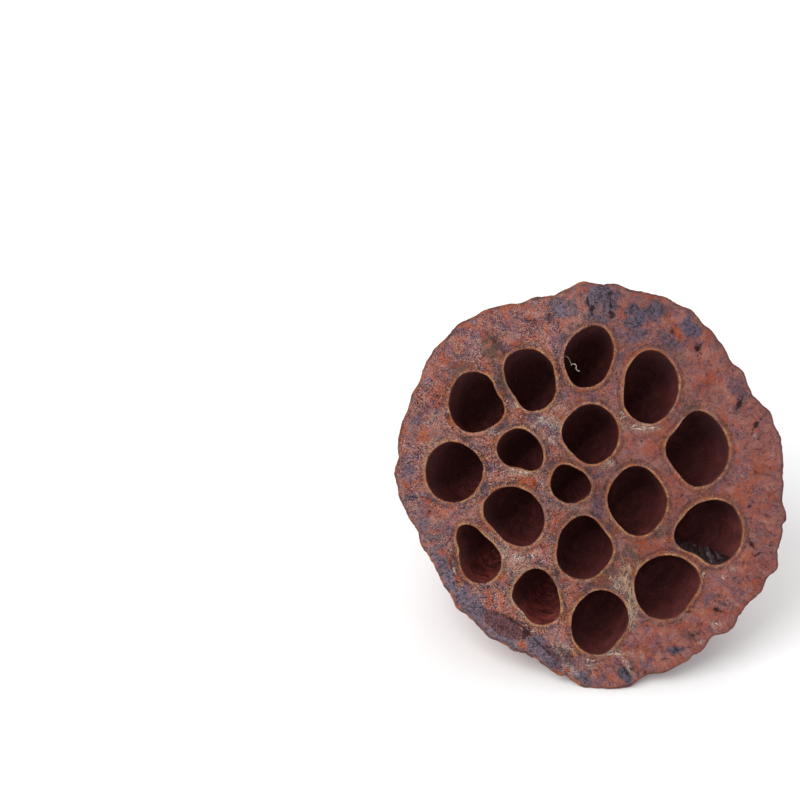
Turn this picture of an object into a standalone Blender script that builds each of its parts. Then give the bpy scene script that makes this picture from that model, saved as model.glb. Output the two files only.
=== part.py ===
"""A dried lotus pod, cut with a short stub of stem, lying on its side as it comes to rest.

The pod is built in its own frame and then laid down. In that frame the seed face lies about the plane
z = 0 and looks along +Z, +X is to the right and +Y is up for someone looking at the face, and the cone
runs back along -Z to the stem. Lists of sizes are in millimetres and angles in degrees.
"""

import math

import bmesh
import bpy
from mathutils import Matrix, Vector

MM = 0.001

# Seed face: how far the rim reaches from the middle of the face, every 15 degrees anticlockwise from +X
RIM_REACH = (
    43.4, 44.0, 42.1, 43.1, 45.7, 45.7, 46.0, 44.3, 46.4, 47.5, 45.8, 45.0,
    44.1, 40.9, 40.1, 40.9, 41.0, 41.8, 45.8, 44.9, 45.1, 45.0, 44.9, 44.7,
)
# Knobs and notches of the rim between those directions: angle, height, half width in degrees
RIM_KNOBS = (
    (93.0, 0.7, 3.0),
    (36.5, 0.6, 4.0),
    (22.0, 0.8, 4.0),
    (351.0, 0.15, 1.6),
    (336.0, 0.9, 2.6),
    (322.0, -0.5, 3.5),
    (308.0, -1.3, 3.5),
    (280.0, 0.8, 3.5),
    (248.0, -0.3, 3.0),
)
# Fine crimps all round the rim: how many, how high and where the first one starts
RIM_CRIMPS = ((31, 0.16, 0.4), (47, 0.12, 2.1), (19, 0.14, 4.4))
# Relief of the seed face
DOME_HEIGHT = 1.6
DOME_RADIUS = 36.0
ROLL_DROP = 2.1
ROLL_WIDTH = 3.2
TROUGH_DEPTH = 0.9
TROUGH_INSET = 4.6
TROUGH_HALF_WIDTH = 2.4
TROUGH_DIRECTION = 215.0
WRINKLE_HEIGHT = 0.4
MARGIN_WIDTH = 7.5

# Cone: share of the depth below the rim against share of the reach from neck to rim, on the flat underside
SIDE_PROFILE = (
    (0.0, 1.0), (0.035, 0.979), (0.09, 0.93), (0.17, 0.856), (0.28, 0.752), (0.41, 0.622),
    (0.54, 0.49), (0.67, 0.356), (0.79, 0.235), (0.89, 0.125), (0.96, 0.045), (1.0, 0.0),
)
# The rest of the cone swells out to a round shoulder above the stem
SHOULDER_SWELL = 0.17
UNDERSIDE_DIRECTION = 272.0
UNDERSIDE_HALF_WIDTH = 25.0
UNDERSIDE_BLEND = 65.0
NECK_DEPTH = 52.0
NECK_RADIUS = 6.3
NECK_CENTRE = (1.0, 0.8)
# Broad folds and narrow ribs run from the rim to the neck
FOLD_COUNT = 7
FOLD_HEIGHT = 0.45
RIB_COUNT = 24
RIB_HEIGHT = 0.5

# Seed cells: middle of the mouth, turn of its compass, and its reach in eight directions 45 degrees apart,
# anticlockwise from that turn
CELLS = (
    (-26.2, 19.1, 25, (5.1, 6.5, 7.0, 6.2, 6.4, 7.0, 6.5, 6.7)),
    (-14.1, 24.1, 0, (5.7, 6.2, 7.0, 7.2, 5.5, 5.0, 7.0, 6.8)),
    (-1.0, 29.2, 25, (6.2, 7.5, 6.0, 5.5, 5.8, 7.0, 6.2, 5.3)),
    (12.9, 22.5, 0, (6.4, 7.2, 8.4, 6.7, 5.9, 7.5, 8.3, 6.8)),
    (23.5, 8.8, 0, (7.1, 7.2, 8.4, 6.4, 7.3, 7.0, 8.7, 7.9)),
    (26.1, -10.4, 12, (7.6, 8.1, 7.3, 7.0, 7.9, 5.6, 7.3, 7.6)),
    (16.9, -22.5, 15, (7.5, 7.3, 7.3, 7.7, 7.6, 7.7, 6.9, 6.1)),
    (1.6, -30.4, 0, (6.4, 7.1, 7.3, 6.5, 6.4, 7.2, 7.4, 5.8)),
    (-12.7, -24.8, 0, (5.1, 5.4, 6.6, 5.8, 5.4, 4.4, 6.1, 6.6)),
    (-25.5, -14.9, 33, (3.8, 4.3, 7.5, 4.7, 5.0, 6.6, 6.5, 5.0)),
    (-31.2, 3.5, 10, (6.6, 6.4, 6.8, 6.6, 6.4, 6.9, 6.9, 6.4)),
    (-16.5, 8.6, 0, (5.1, 4.4, 4.6, 4.8, 5.1, 4.7, 4.2, 6.2)),
    (-0.6, 12.1, 0, (6.4, 6.4, 6.6, 6.2, 6.5, 6.0, 6.9, 6.7)),
    (-5.0, 0.7, 30, (4.0, 3.8, 4.9, 4.6, 4.5, 4.3, 4.3, 4.7)),
    (-17.7, -6.5, 32, (6.4, 6.4, 7.1, 7.2, 5.4, 6.1, 7.4, 7.0)),
    (10.0, -3.2, 0, (6.7, 6.7, 8.0, 7.2, 6.8, 6.6, 7.8, 6.9)),
    (-1.8, -13.6, 0, (6.3, 5.8, 7.3, 6.6, 6.3, 7.3, 7.1, 6.3)),
)
# Depth below the mouth against the share of the mouth's reach, for a cell of full depth
CELL_PROFILE = ((2.5, 1.02), (8.0, 0.97), (13.0, 0.83), (16.2, 0.5))
CELL_DEPTH = 17.4
CELL_DEPTH_PER_REACH = 2.9
CELL_LEAN_POINT = 110.0
CUTTER_RISE = 4.0
LIP_WIDTH = 1.1
LIP_HEIGHT = 0.6
LIP_SLOPE = 0.6
LIP_ROOT = 1.6

# Stem stub
STUB_GAP = 0.3
STUB_LENGTH = 11.0
STUB_RADIUS = 4.7
STUB_FLARE = 0.9
STUB_WAIST = 0.25
STUB_RIBS = 11
STUB_RIB_HEIGHT = 0.32
STUB_CUT_SLANT = 0.9
STUB_PITH_DEPTH = 0.8
STUB_SIDES = 44

# How it lies: the ground planes a small flat off the bottom of the rim and off the end of the stub
RIM_LOW_REACH = 45.8
RIM_LOW_DEPTH = 2.9
STUB_LOW_RADIUS = 4.6
STUB_LOW_DEPTH = 62.3
GROUND_HALF_SIDE = 150.0
GROUND_THICKNESS = 20.0

# Points round the pod and round a cell's mouth, and the face's rings as shares of the way to the rim
AROUND = 120
MOUTH_SIDES = 20
FACE_RINGS = (0.3, 0.55, 0.72, 0.83, 0.9, 0.945, 0.978)

SKIN_COLOUR = (0.24, 0.10, 0.095, 1.0)
STEM_COLOUR = (0.30, 0.22, 0.16, 1.0)


def clear_scene():
    for obj in list(bpy.data.objects):
        bpy.data.objects.remove(obj)


def closed_curve(values, position):
    """A smooth closed curve through evenly spaced values, read at a position counted in their steps."""
    count = len(values)
    start = math.floor(position)
    t = position - start
    a, b, c, d = (values[(start + k) % count] for k in (-1, 0, 1, 2))
    return b + 0.5 * t * (c - a + t * (2 * a - 5 * b + 4 * c - d + t * (3 * (b - c) + d - a)))


def bell(distance, half_width):
    return math.exp(-((distance / half_width) ** 2))


def turn_between(angle, other):
    """The shorter turn between two directions, in degrees."""
    return (angle - other + 180.0) % 360.0 - 180.0


def rim_reach(angle):
    """How far the rim reaches in a direction given in radians."""
    degrees = math.degrees(angle) % 360.0
    reach = closed_curve(RIM_REACH, degrees / 15.0)
    reach += sum(high * bell(turn_between(degrees, at), wide) for at, high, wide in RIM_KNOBS)
    return reach + sum(high * math.sin(count * angle + phase) for count, high, phase in RIM_CRIMPS)


def rib_wave(angle, count):
    """Round ribs of uneven width with sharper furrows between them, from -1 to 1."""
    uneven = 0.5 * math.sin(3 * angle + 1.0) + 0.35 * math.sin(7 * angle + 2.6)
    return 1.0 - 2.0 * (1.0 - abs(math.sin(0.5 * count * angle + uneven))) ** 1.6


def face_height(x, y):
    """Height of the seed face: a low dome, a shallow trough and wrinkles round it, and a rolled rim."""
    angle = math.atan2(y, x)
    radius = math.hypot(x, y)
    inset = rim_reach(angle) - radius
    dome = DOME_HEIGHT * (1.0 - (radius / DOME_RADIUS) ** 2)
    roll = ROLL_DROP * max(0.0, 1.0 - inset / ROLL_WIDTH) ** 2
    lean = 0.5 + 0.5 * math.cos(angle - math.radians(TROUGH_DIRECTION))
    trough = TROUGH_DEPTH * lean * bell(inset - TROUGH_INSET, TROUGH_HALF_WIDTH)
    wrinkle = WRINKLE_HEIGHT * max(0.0, 1.0 - inset / MARGIN_WIDTH) * rib_wave(angle, RIB_COUNT)
    return dome - roll - trough + wrinkle


def face_ring(share):
    """One ring of the seed face, at a share of the way from its middle to the rim."""
    ring = []
    for step in range(AROUND):
        angle = 2 * math.pi * step / AROUND
        x = share * rim_reach(angle) * math.cos(angle)
        y = share * rim_reach(angle) * math.sin(angle)
        ring.append((x, y, face_height(x, y)))
    return ring


def shoulder(angle, depth_share):
    """How much further out the cone swells in a direction, as a share of the reach from neck to rim."""
    from_underside = abs(turn_between(math.degrees(angle), UNDERSIDE_DIRECTION))
    blend = min(1.0, max(0.0, (from_underside - UNDERSIDE_HALF_WIDTH) / UNDERSIDE_BLEND))
    blend = blend * blend * (3.0 - 2.0 * blend)
    return SHOULDER_SWELL * blend * math.sin(math.pi * depth_share)


def side_ring(depth_share, reach_share):
    """One ring of the cone, between the rim and the neck."""
    ring = []
    relief = math.sin(math.pi * min(1.0, depth_share * 1.1 + 0.02))
    for step in range(AROUND):
        angle = 2 * math.pi * step / AROUND
        share = reach_share + shoulder(angle, depth_share)
        reach = NECK_RADIUS + (rim_reach(angle) - NECK_RADIUS) * share
        reach += relief * FOLD_HEIGHT * math.sin(FOLD_COUNT * angle + 0.9 * math.sin(2 * angle))
        reach += relief * RIB_HEIGHT * rib_wave(angle, RIB_COUNT)
        x = reach * math.cos(angle) + NECK_CENTRE[0] * depth_share
        y = reach * math.sin(angle) + NECK_CENTRE[1] * depth_share
        rim = rim_reach(angle)
        rim_height = face_height(rim * math.cos(angle), rim * math.sin(angle))
        ring.append((x, y, rim_height * (1.0 - depth_share) - NECK_DEPTH * depth_share))
    return ring


def loft(name, rings, tip=None, tail=None):
    """A closed mesh through rings of points, in millimetres, closed at each end by a point or a flat cap."""
    bm = bmesh.new()
    made = [[bm.verts.new(Vector(point) * MM) for point in ring] for ring in rings]
    sides = len(made[0])
    for above, below in zip(made, made[1:]):
        for k in range(sides):
            after = (k + 1) % sides
            bm.faces.new((above[k], below[k], below[after], above[after]))
    for ring, point, order in ((made[0], tip, 1), (made[-1], tail, -1)):
        if point is None:
            bm.faces.new(ring[::order])
            continue
        centre = bm.verts.new(Vector(point) * MM)
        for k in range(sides):
            pair = (ring[k], ring[(k + 1) % sides])
            bm.faces.new((centre, *pair[::order]))
    bmesh.ops.recalc_face_normals(bm, faces=bm.faces)
    mesh = bpy.data.meshes.new(name)
    bm.to_mesh(mesh)
    bm.free()
    return mesh


def place(name, mesh, collection, frame):
    """A named object in a collection, set in the pod's frame."""
    obj = bpy.data.objects.new(name, mesh)
    collection.objects.link(obj)
    obj.parent = frame
    return obj


def new_collection(name):
    collection = bpy.data.collections.new(name)
    bpy.context.scene.collection.children.link(collection)
    return collection


def finish_material(name, colour, roughness):
    material = bpy.data.materials.new(name)
    material.use_nodes = True
    shader = material.node_tree.nodes["Principled BSDF"]
    shader.inputs["Base Color"].default_value = colour
    shader.inputs["Roughness"].default_value = roughness
    shader.inputs["Metallic"].default_value = 0.0
    return material


def mouth_ring(cell, scale=1.0, spread=0.0):
    """The outline of a cell's mouth in the face plane, scaled and then spread outwards."""
    x, y, turn, reaches = cell
    ring = []
    for step in range(MOUTH_SIDES):
        share = step / MOUTH_SIDES
        angle = math.radians(turn) + 2 * math.pi * share
        reach = closed_curve(reaches, share * len(reaches)) * scale + spread
        ring.append((x + reach * math.cos(angle), y + reach * math.sin(angle)))
    return ring


def at_depth(ring, cell, depth):
    """The ring at a depth below the cell's mouth, moved along the cell's lean towards the stem."""
    x, y = cell[0], cell[1]
    lean = depth / CELL_LEAN_POINT
    level = face_height(x, y) - depth
    return [(px - x * lean, py - y * lean, level) for px, py in ring]


def cell_cutter(name, cell):
    """The hollow of one seed cell: straight through the lip, then drawn in to a round floor."""
    mean_reach = sum(cell[3]) / len(cell[3])
    deep = min(1.0, CELL_DEPTH_PER_REACH * mean_reach / CELL_DEPTH)
    rings = [at_depth(mouth_ring(cell), cell, -CUTTER_RISE)]
    rings += [at_depth(mouth_ring(cell, scale), cell, depth * deep) for depth, scale in CELL_PROFILE]
    floor = at_depth([cell[:2]], cell, CELL_DEPTH * deep)[0]
    return loft(name, rings, tail=floor)


def cell_lip(name, cell):
    """The raised collar round one mouth, rooted in the face. The cell is cut through it afterwards."""
    top = [(x, y, face_height(x, y) + LIP_HEIGHT) for x, y in mouth_ring(cell, spread=LIP_WIDTH)]
    foot_ring = mouth_ring(cell, spread=LIP_WIDTH + LIP_SLOPE)
    foot = [(x, y, face_height(x, y) - LIP_ROOT) for x, y in foot_ring]
    crown = (cell[0], cell[1], face_height(cell[0], cell[1]) + LIP_HEIGHT)
    return loft(name, [top, foot], tip=crown)


def boolean(obj, name, operation, operand):
    modifier = obj.modifiers.new(name, "BOOLEAN")
    modifier.operation = operation
    modifier.solver = "EXACT"
    if isinstance(operand, bpy.types.Collection):
        modifier.operand_type = "COLLECTION"
        modifier.collection = operand
    else:
        modifier.object = operand
    return modifier


def as_cutter(obj):
    obj.hide_render = True
    obj.display_type = "WIRE"


def apply_modifiers(obj):
    """Replaces the object's mesh by its evaluated one and drops its modifiers."""
    graph = bpy.context.evaluated_depsgraph_get()
    mesh = bpy.data.meshes.new_from_object(obj.evaluated_get(graph))
    obj.modifiers.clear()
    obj.data = mesh


def make_receptacle(collection, cutters, ground, frame):
    """The pod itself: one body with its seed face, lips, seventeen hollow cells and ribbed cone."""
    rings = [face_ring(share) for share in FACE_RINGS]
    rings += [side_ring(depth, reach) for depth, reach in SIDE_PROFILE]
    mesh = loft("receptacle", rings, tip=(0.0, 0.0, face_height(0.0, 0.0)))
    receptacle = place("receptacle", mesh, collection, frame)

    lips = new_collection("lips")
    for number, cell in enumerate(CELLS, 1):
        place(f"lip_{number}", cell_lip(f"lip_{number}", cell), lips, frame)
    boolean(receptacle, "lips", "UNION", lips)
    bpy.context.view_layer.update()
    apply_modifiers(receptacle)
    for lip in list(lips.objects):
        bpy.data.objects.remove(lip)
    bpy.data.collections.remove(lips)

    for number, cell in enumerate(CELLS, 1):
        as_cutter(place(f"cell_{number}", cell_cutter(f"cell_{number}", cell), cutters, frame))
    boolean(receptacle, "cells", "DIFFERENCE", cutters)
    boolean(receptacle, "resting flat", "DIFFERENCE", ground)
    return receptacle


def stub_ring(along, radius):
    """One ribbed ring of the stub. Its cut end slants, so a ring's depth grows across it."""
    ring = []
    for step in range(STUB_SIDES):
        angle = 2 * math.pi * step / STUB_SIDES
        reach = radius + STUB_RIB_HEIGHT * rib_wave(angle, STUB_RIBS) * radius / STUB_RADIUS
        slant = STUB_CUT_SLANT * math.sin(angle + 0.6) * along
        ragged = 0.35 * math.sin(3 * angle + 1.2) * along ** 4
        x = NECK_CENTRE[0] + reach * math.cos(angle)
        y = NECK_CENTRE[1] + reach * math.sin(angle)
        ring.append((x, y, -(NECK_DEPTH + STUB_GAP + STUB_LENGTH * along + slant + ragged)))
    return ring


def make_stub(collection, ground, frame):
    """The cut stub of the stem: flared where it leaves the pod, with a slanted, dished end."""
    rings = [stub_ring(0.0, STUB_RADIUS + STUB_FLARE), stub_ring(0.12, STUB_RADIUS + 0.35 * STUB_FLARE)]
    for along in (0.28, 0.5, 0.75, 1.0):
        rings.append(stub_ring(along, STUB_RADIUS - STUB_WAIST * math.sin(math.pi * along)))
    rings.append(stub_ring(1.0, 0.72 * STUB_RADIUS))
    end = (*NECK_CENTRE, STUB_PITH_DEPTH - NECK_DEPTH - STUB_GAP - STUB_LENGTH)
    stub = place("stem_stub", loft("stem_stub", rings, tail=end), collection, frame)
    boolean(stub, "resting flat", "DIFFERENCE", ground)
    return stub


def make_ground(cutters):
    """A slab under z = 0 that planes the resting flats."""
    bm = bmesh.new()
    bmesh.ops.create_cube(bm, size=1.0)
    size = (2 * GROUND_HALF_SIDE * MM, 2 * GROUND_HALF_SIDE * MM, GROUND_THICKNESS * MM)
    bmesh.ops.scale(bm, vec=size, verts=bm.verts)
    bmesh.ops.translate(bm, vec=(0.0, 0.0, -0.5 * GROUND_THICKNESS * MM), verts=bm.verts)
    mesh = bpy.data.meshes.new("ground")
    bm.to_mesh(mesh)
    bm.free()
    ground = bpy.data.objects.new("ground", mesh)
    cutters.objects.link(ground)
    as_cutter(ground)
    return ground


def lay_down(frame):
    """Leans the pod back until the bottom of its rim and the end of its stub meet the ground together."""
    fall = RIM_LOW_REACH - STUB_LOW_RADIUS + NECK_CENTRE[1]
    lean = math.atan2(fall, STUB_LOW_DEPTH - RIM_LOW_DEPTH)
    height = RIM_LOW_REACH * math.cos(lean) + RIM_LOW_DEPTH * math.sin(lean)
    upright = Matrix.Rotation(math.pi / 2 - lean, 4, "X")
    frame.matrix_world = Matrix.Translation((0.0, 0.0, height * MM)) @ upright


def centre_over_origin(frame, pieces):
    """Moves the pod sideways so that its box stands centred on the origin."""
    bpy.context.view_layer.update()
    graph = bpy.context.evaluated_depsgraph_get()
    corners = []
    for piece in pieces:
        solid = piece.evaluated_get(graph)
        corners += [solid.matrix_world @ vertex.co for vertex in solid.data.vertices]
    for axis in (0, 1):
        low = min(corner[axis] for corner in corners)
        high = max(corner[axis] for corner in corners)
        frame.location[axis] -= 0.5 * (low + high)


def build():
    clear_scene()
    pod = new_collection("dried_lotus_pod")
    cutters = new_collection("cell_cutters")
    helpers = new_collection("ground_cutter")
    frame = bpy.data.objects.new("pod_frame", None)
    pod.objects.link(frame)
    lay_down(frame)

    ground = make_ground(helpers)
    receptacle = make_receptacle(pod, cutters, ground, frame)
    stub = make_stub(pod, ground, frame)
    receptacle.data.materials.clear()
    receptacle.data.materials.append(finish_material("pod_skin", SKIN_COLOUR, 0.72))
    stub.data.materials.append(finish_material("dry_stem", STEM_COLOUR, 0.85))
    for piece in (receptacle, stub):
        piece.data.shade_smooth()
        piece.data.set_sharp_from_angle(angle=math.radians(35.0))
    centre_over_origin(frame, (receptacle, stub))


build()
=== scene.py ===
"""Looks of a dried lotus pod with a cut stub of stem, lying on its side on a pale floor.

The pod's own frame is the part's: its seed face lies about z = 0 and looks along +Z, +X is to the right
and +Y is up for someone looking at the face, and the cone runs back along -Z to the stem. Lists of sizes
are in millimetres and angles in degrees. The shapes repeat the part's formulas and add finer relief.
"""

import random
from math import atan2, cos, degrees, exp, hypot, pi, radians, sin, sqrt, tau

import bpy
from mathutils import Matrix, Vector, noise
from mathutils.geometry import delaunay_2d_cdt


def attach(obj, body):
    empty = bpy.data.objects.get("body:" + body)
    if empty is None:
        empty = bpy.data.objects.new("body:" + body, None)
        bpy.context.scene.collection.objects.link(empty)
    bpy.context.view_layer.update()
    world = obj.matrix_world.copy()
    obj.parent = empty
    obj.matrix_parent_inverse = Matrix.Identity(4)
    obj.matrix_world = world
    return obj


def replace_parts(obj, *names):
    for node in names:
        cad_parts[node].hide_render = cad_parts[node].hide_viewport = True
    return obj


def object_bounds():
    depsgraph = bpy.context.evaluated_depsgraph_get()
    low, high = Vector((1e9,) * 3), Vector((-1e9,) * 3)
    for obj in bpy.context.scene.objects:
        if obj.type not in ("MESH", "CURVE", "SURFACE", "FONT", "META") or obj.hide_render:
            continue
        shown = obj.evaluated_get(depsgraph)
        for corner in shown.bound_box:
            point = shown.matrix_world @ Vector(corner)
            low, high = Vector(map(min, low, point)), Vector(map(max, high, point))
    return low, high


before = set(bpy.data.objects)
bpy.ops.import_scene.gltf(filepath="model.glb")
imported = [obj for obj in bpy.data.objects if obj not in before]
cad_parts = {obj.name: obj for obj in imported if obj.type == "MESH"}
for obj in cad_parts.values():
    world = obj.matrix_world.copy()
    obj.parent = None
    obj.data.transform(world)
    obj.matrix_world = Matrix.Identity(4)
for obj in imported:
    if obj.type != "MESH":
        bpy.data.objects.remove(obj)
CAD_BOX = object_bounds()

MM = 0.001
SEED = 17

# Seed face: how far the rim reaches from the middle of the face, every 15 degrees anticlockwise from +X
RIM_REACH = (
    43.4, 44, 42.1, 43.1, 45.7, 45.7, 46, 44.3, 46.4, 47.5, 45.8, 45, 44.1, 40.9, 40.1, 40.9, 41, 41.8,
    45.8, 44.9, 45.1, 45, 44.9, 44.7,
)
# Knobs and notches of the rim between those directions: angle, height, half width in degrees
RIM_KNOBS = (
    (93, 0.7, 3), (36.5, 0.6, 4), (22, 0.8, 4), (351, 0.15, 1.6), (336, 0.9, 2.6), (322, -0.5, 3.5),
    (308, -1.3, 3.5), (280, 0.8, 3.5), (248, -0.3, 3),
)
RIM_CRIMPS = ((31, 0.16, 0.4), (47, 0.12, 2.1), (19, 0.14, 4.4))
# Small nicks in from the rim: angle, depth, half width in degrees
RIM_NICKS = (
    (252.3, 0.55, 1.1), (262.1, 0.5, 0.9), (348.5, 0.4, 1), (341, 0.3, 0.8), (318.5, 0.35, 1),
    (301, 0.3, 0.8), (29.5, 0.3, 1), (13, 0.25, 0.7), (229, 0.35, 1.2), (206, 0.25, 0.9), (100.5, 0.3, 0.8),
    (86.5, 0.3, 0.7),
)
RIM_FRAY = 0.28
DOME_HEIGHT = 1.6
DOME_RADIUS = 36.0
ROLL_DROP = 2.1
ROLL_WIDTH = 3.2
TROUGH_DEPTH = 0.9
TROUGH_INSET = 4.6
TROUGH_HALF_WIDTH = 2.4
TROUGH_DIRECTION = 215.0
WRINKLE_HEIGHT = 0.4
MARGIN_WIDTH = 7.5

# Cone: share of the reach from neck to rim at shares of the depth
SIDE_PROFILE = (
    (0.0, 1.0), (0.035, 0.979), (0.09, 0.93), (0.17, 0.856), (0.28, 0.752), (0.41, 0.622),
    (0.54, 0.49), (0.67, 0.356), (0.79, 0.235), (0.89, 0.125), (0.96, 0.045), (1.0, 0.0),
)
SHOULDER_SWELL = 0.17
UNDERSIDE_DIRECTION = 272.0
UNDERSIDE_HALF_WIDTH = 25.0
UNDERSIDE_BLEND = 65.0
NECK_DEPTH = 52.0
NECK_RADIUS = 6.3
NECK_CENTRE = (1.0, 0.8)
FOLD_COUNT = 7
FOLD_HEIGHT = 0.45
RIB_COUNT = 24
RIB_HEIGHT = 0.5
PLEAT_COUNT = 74
PLEAT_HEIGHT = 0.16

# Seed cells: middle of the mouth, turn of its compass, and its reach in eight directions 45 degrees apart
CELLS = (
    (-26.2, 19.1, 25, (5.1, 6.5, 7, 6.2, 6.4, 7, 6.5, 6.7)),
    (-14.1, 24.1, 0, (5.7, 6.2, 7, 7.2, 5.5, 5, 7, 6.8)),
    (-1, 29.2, 25, (6.2, 7.5, 6, 5.5, 5.8, 7, 6.2, 5.3)),
    (12.9, 22.5, 0, (6.4, 7.2, 8.4, 6.7, 5.9, 7.5, 8.3, 6.8)),
    (23.5, 8.8, 0, (7.1, 7.2, 8.4, 6.4, 7.3, 7, 8.7, 7.9)),
    (26.1, -10.4, 12, (7.6, 8.1, 7.3, 7, 7.9, 5.6, 7.3, 7.6)),
    (16.9, -22.5, 15, (7.5, 7.3, 7.3, 7.7, 7.6, 7.7, 6.9, 6.1)),
    (1.6, -30.4, 0, (6.4, 7.1, 7.3, 6.5, 6.4, 7.2, 7.4, 5.8)),
    (-12.7, -24.8, 0, (5.1, 5.4, 6.6, 5.8, 5.4, 4.4, 6.1, 6.6)),
    (-25.5, -14.9, 33, (3.8, 4.3, 7.5, 4.7, 5, 6.6, 6.5, 5)),
    (-31.2, 3.5, 10, (6.6, 6.4, 6.8, 6.6, 6.4, 6.9, 6.9, 6.4)),
    (-16.5, 8.6, 0, (5.1, 4.4, 4.6, 4.8, 5.1, 4.7, 4.2, 6.2)),
    (-0.6, 12.1, 0, (6.4, 6.4, 6.6, 6.2, 6.5, 6, 6.9, 6.7)),
    (-5, 0.7, 30, (4, 3.8, 4.9, 4.6, 4.5, 4.3, 4.3, 4.7)),
    (-17.7, -6.5, 32, (6.4, 6.4, 7.1, 7.2, 5.4, 6.1, 7.4, 7)),
    (10, -3.2, 0, (6.7, 6.7, 8, 7.2, 6.8, 6.6, 7.8, 6.9)),
    (-1.8, -13.6, 0, (6.3, 5.8, 7.3, 6.6, 6.3, 7.3, 7.1, 6.3)),
)
# Share of the mouth's reach at depths in a cell
CELL_PROFILE = ((2.5, 1.02), (8.0, 0.97), (13.0, 0.83), (16.2, 0.5))
CELL_MOUTH_SCALE = 0.985
CELL_FLOOR_FROM = 16.5
CELL_DEPTH = 17.4
CELL_DEPTH_PER_REACH = 2.9
CELL_LEAN_POINT = 110.0
# Further than this from its middle, a mouth is taken to reach as far as the second number
FAR_OFF = 13.0
FAR_OFF_REACH = 8.0
LIP_HEIGHT = 0.6
LIP_CREST = 0.35
LIP_WIDTH = 1.25

# Stem stub
STUB_GAP = 0.3
STUB_LENGTH = 11.0
STUB_RADIUS = 4.7
STUB_FLARE = 0.9
STUB_WAIST = 0.25
STUB_RIBS = 11
STUB_RIB_HEIGHT = 0.32
STUB_CUT_SLANT = 0.9
STUB_PITH_DEPTH = 0.8
# Air channels in the cut end: middle as a share of the radius, turn, reach
STUB_CHANNELS = (
    (0.0, 0, 0.8), (0.52, 20, 0.85), (0.55, 92, 0.75), (0.5, 165, 0.9), (0.55, 235, 0.8), (0.52, 305, 0.85),
)
CHANNEL_DEPTH = 1.3

# How it lies, as in the part
RIM_LOW_REACH = 45.8
RIM_LOW_DEPTH = 2.9
STUB_LOW_RADIUS = 4.6
STUB_LOW_DEPTH = 62.3
BOX_SHIFT = (0.24, -15.49)

# Fineness of the meshes
RIM_STEPS = 640
RIM_INSETS = (0.0, 0.22, 0.5, 0.85, 1.25, 1.7)
MOUTH_STEPS = 84
MOUTH_OFFSETS = (0.0, 0.17, 0.35, 0.55, 0.8, 1.1, 1.45)
GRID_STEP = 0.4
GRID_HALF = 50.0
GRID_JITTER = 0.22
WALL_DEPTHS = (
    0.12, 0.3, 0.6, 1.0, 1.6, 2.5, 3.6, 4.8, 6.0, 7.2,
    8.4, 9.6, 10.8, 11.9, 13.0, 14.1, 15.1, 16.0, 16.7, 17.1,
)
SIDE_STEPS = 40
STUB_STEPS = 220
STUB_RINGS = 46
STUB_END_RINGS = 14

# Camera: the photo's scale at the face, and the face's middle in the photo
PIXEL_MM = 0.225
FRAME_PIXELS = 800
FACE_PIXEL = (592.5, 487.0)
CAMERA_DISTANCE = 620.0
SENSOR_WIDTH = 36.0

# Lights: name, direction from the pod (left to right, front to back, up), distance, size and power
LIGHTS = (
    ("key", (-0.75, -0.6, 1.1), 0.9, 0.7, 5.6),
    ("fill", (0.55, -1.0, 0.22), 1.1, 0.9, 5.2),
    ("back", (0.2, 0.9, 0.9), 1.1, 0.8, 3.0),
)
LIGHT_AIM = (0.0, 0.0, 0.035)
SKY_STRENGTH = 0.66
FLOOR_HALF = 3.0

# Dents and swellings of the margin and webs: middle, reach across, height
FACE_DENTS = (
    (-14.6, -32.8, 0.9, -1), (-20.1, -31.2, 3, -0.5), (-16.2, -29.4, 1.6, 0.35), (-31.5, -17.5, 2.6, -0.5),
    (-7, -38.5, 2.6, -0.45), (1.2, 39.5, 1.3, 0.35), (-4, 37.5, 1.2, 0.3), (0.1, 40.4, 0.5, -0.5),
    (4.4, 38.6, 0.5, -0.55), (9.1, 40.6, 0.4, -0.3), (10.9, 36.5, 0.4, -0.35), (17.9, 34.7, 0.4, -0.35),
    (23.6, 31.1, 0.5, -0.55), (33, 18.7, 0.55, -0.5), (36.9, 13.8, 0.5, -0.4), (36.4, 3, 0.5, -0.25),
    (35.5, -4.3, 0.45, -0.35), (35.9, -12.8, 0.5, -0.4), (37.3, -15.1, 0.5, -0.45),
    (40.2, -14.7, 0.4, -0.35), (41.3, -13.5, 0.35, -0.3), (30.5, -20.5, 0.4, -0.3), (28, -27.6, 0.5, -0.4),
    (22.8, -33.5, 0.45, -0.35), (18.9, -36.6, 0.6, -0.35), (12, -41.9, 0.4, -0.3), (8.9, -41, 0.45, -0.35),
    (-22, 33, 0.6, -0.3), (-24.5, 29.5, 0.4, -0.3), (-35, 20.5, 0.4, -0.3), (-37.5, 9, 0.4, -0.25),
    (-36.8, -5.5, 0.45, -0.3),
)
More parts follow.
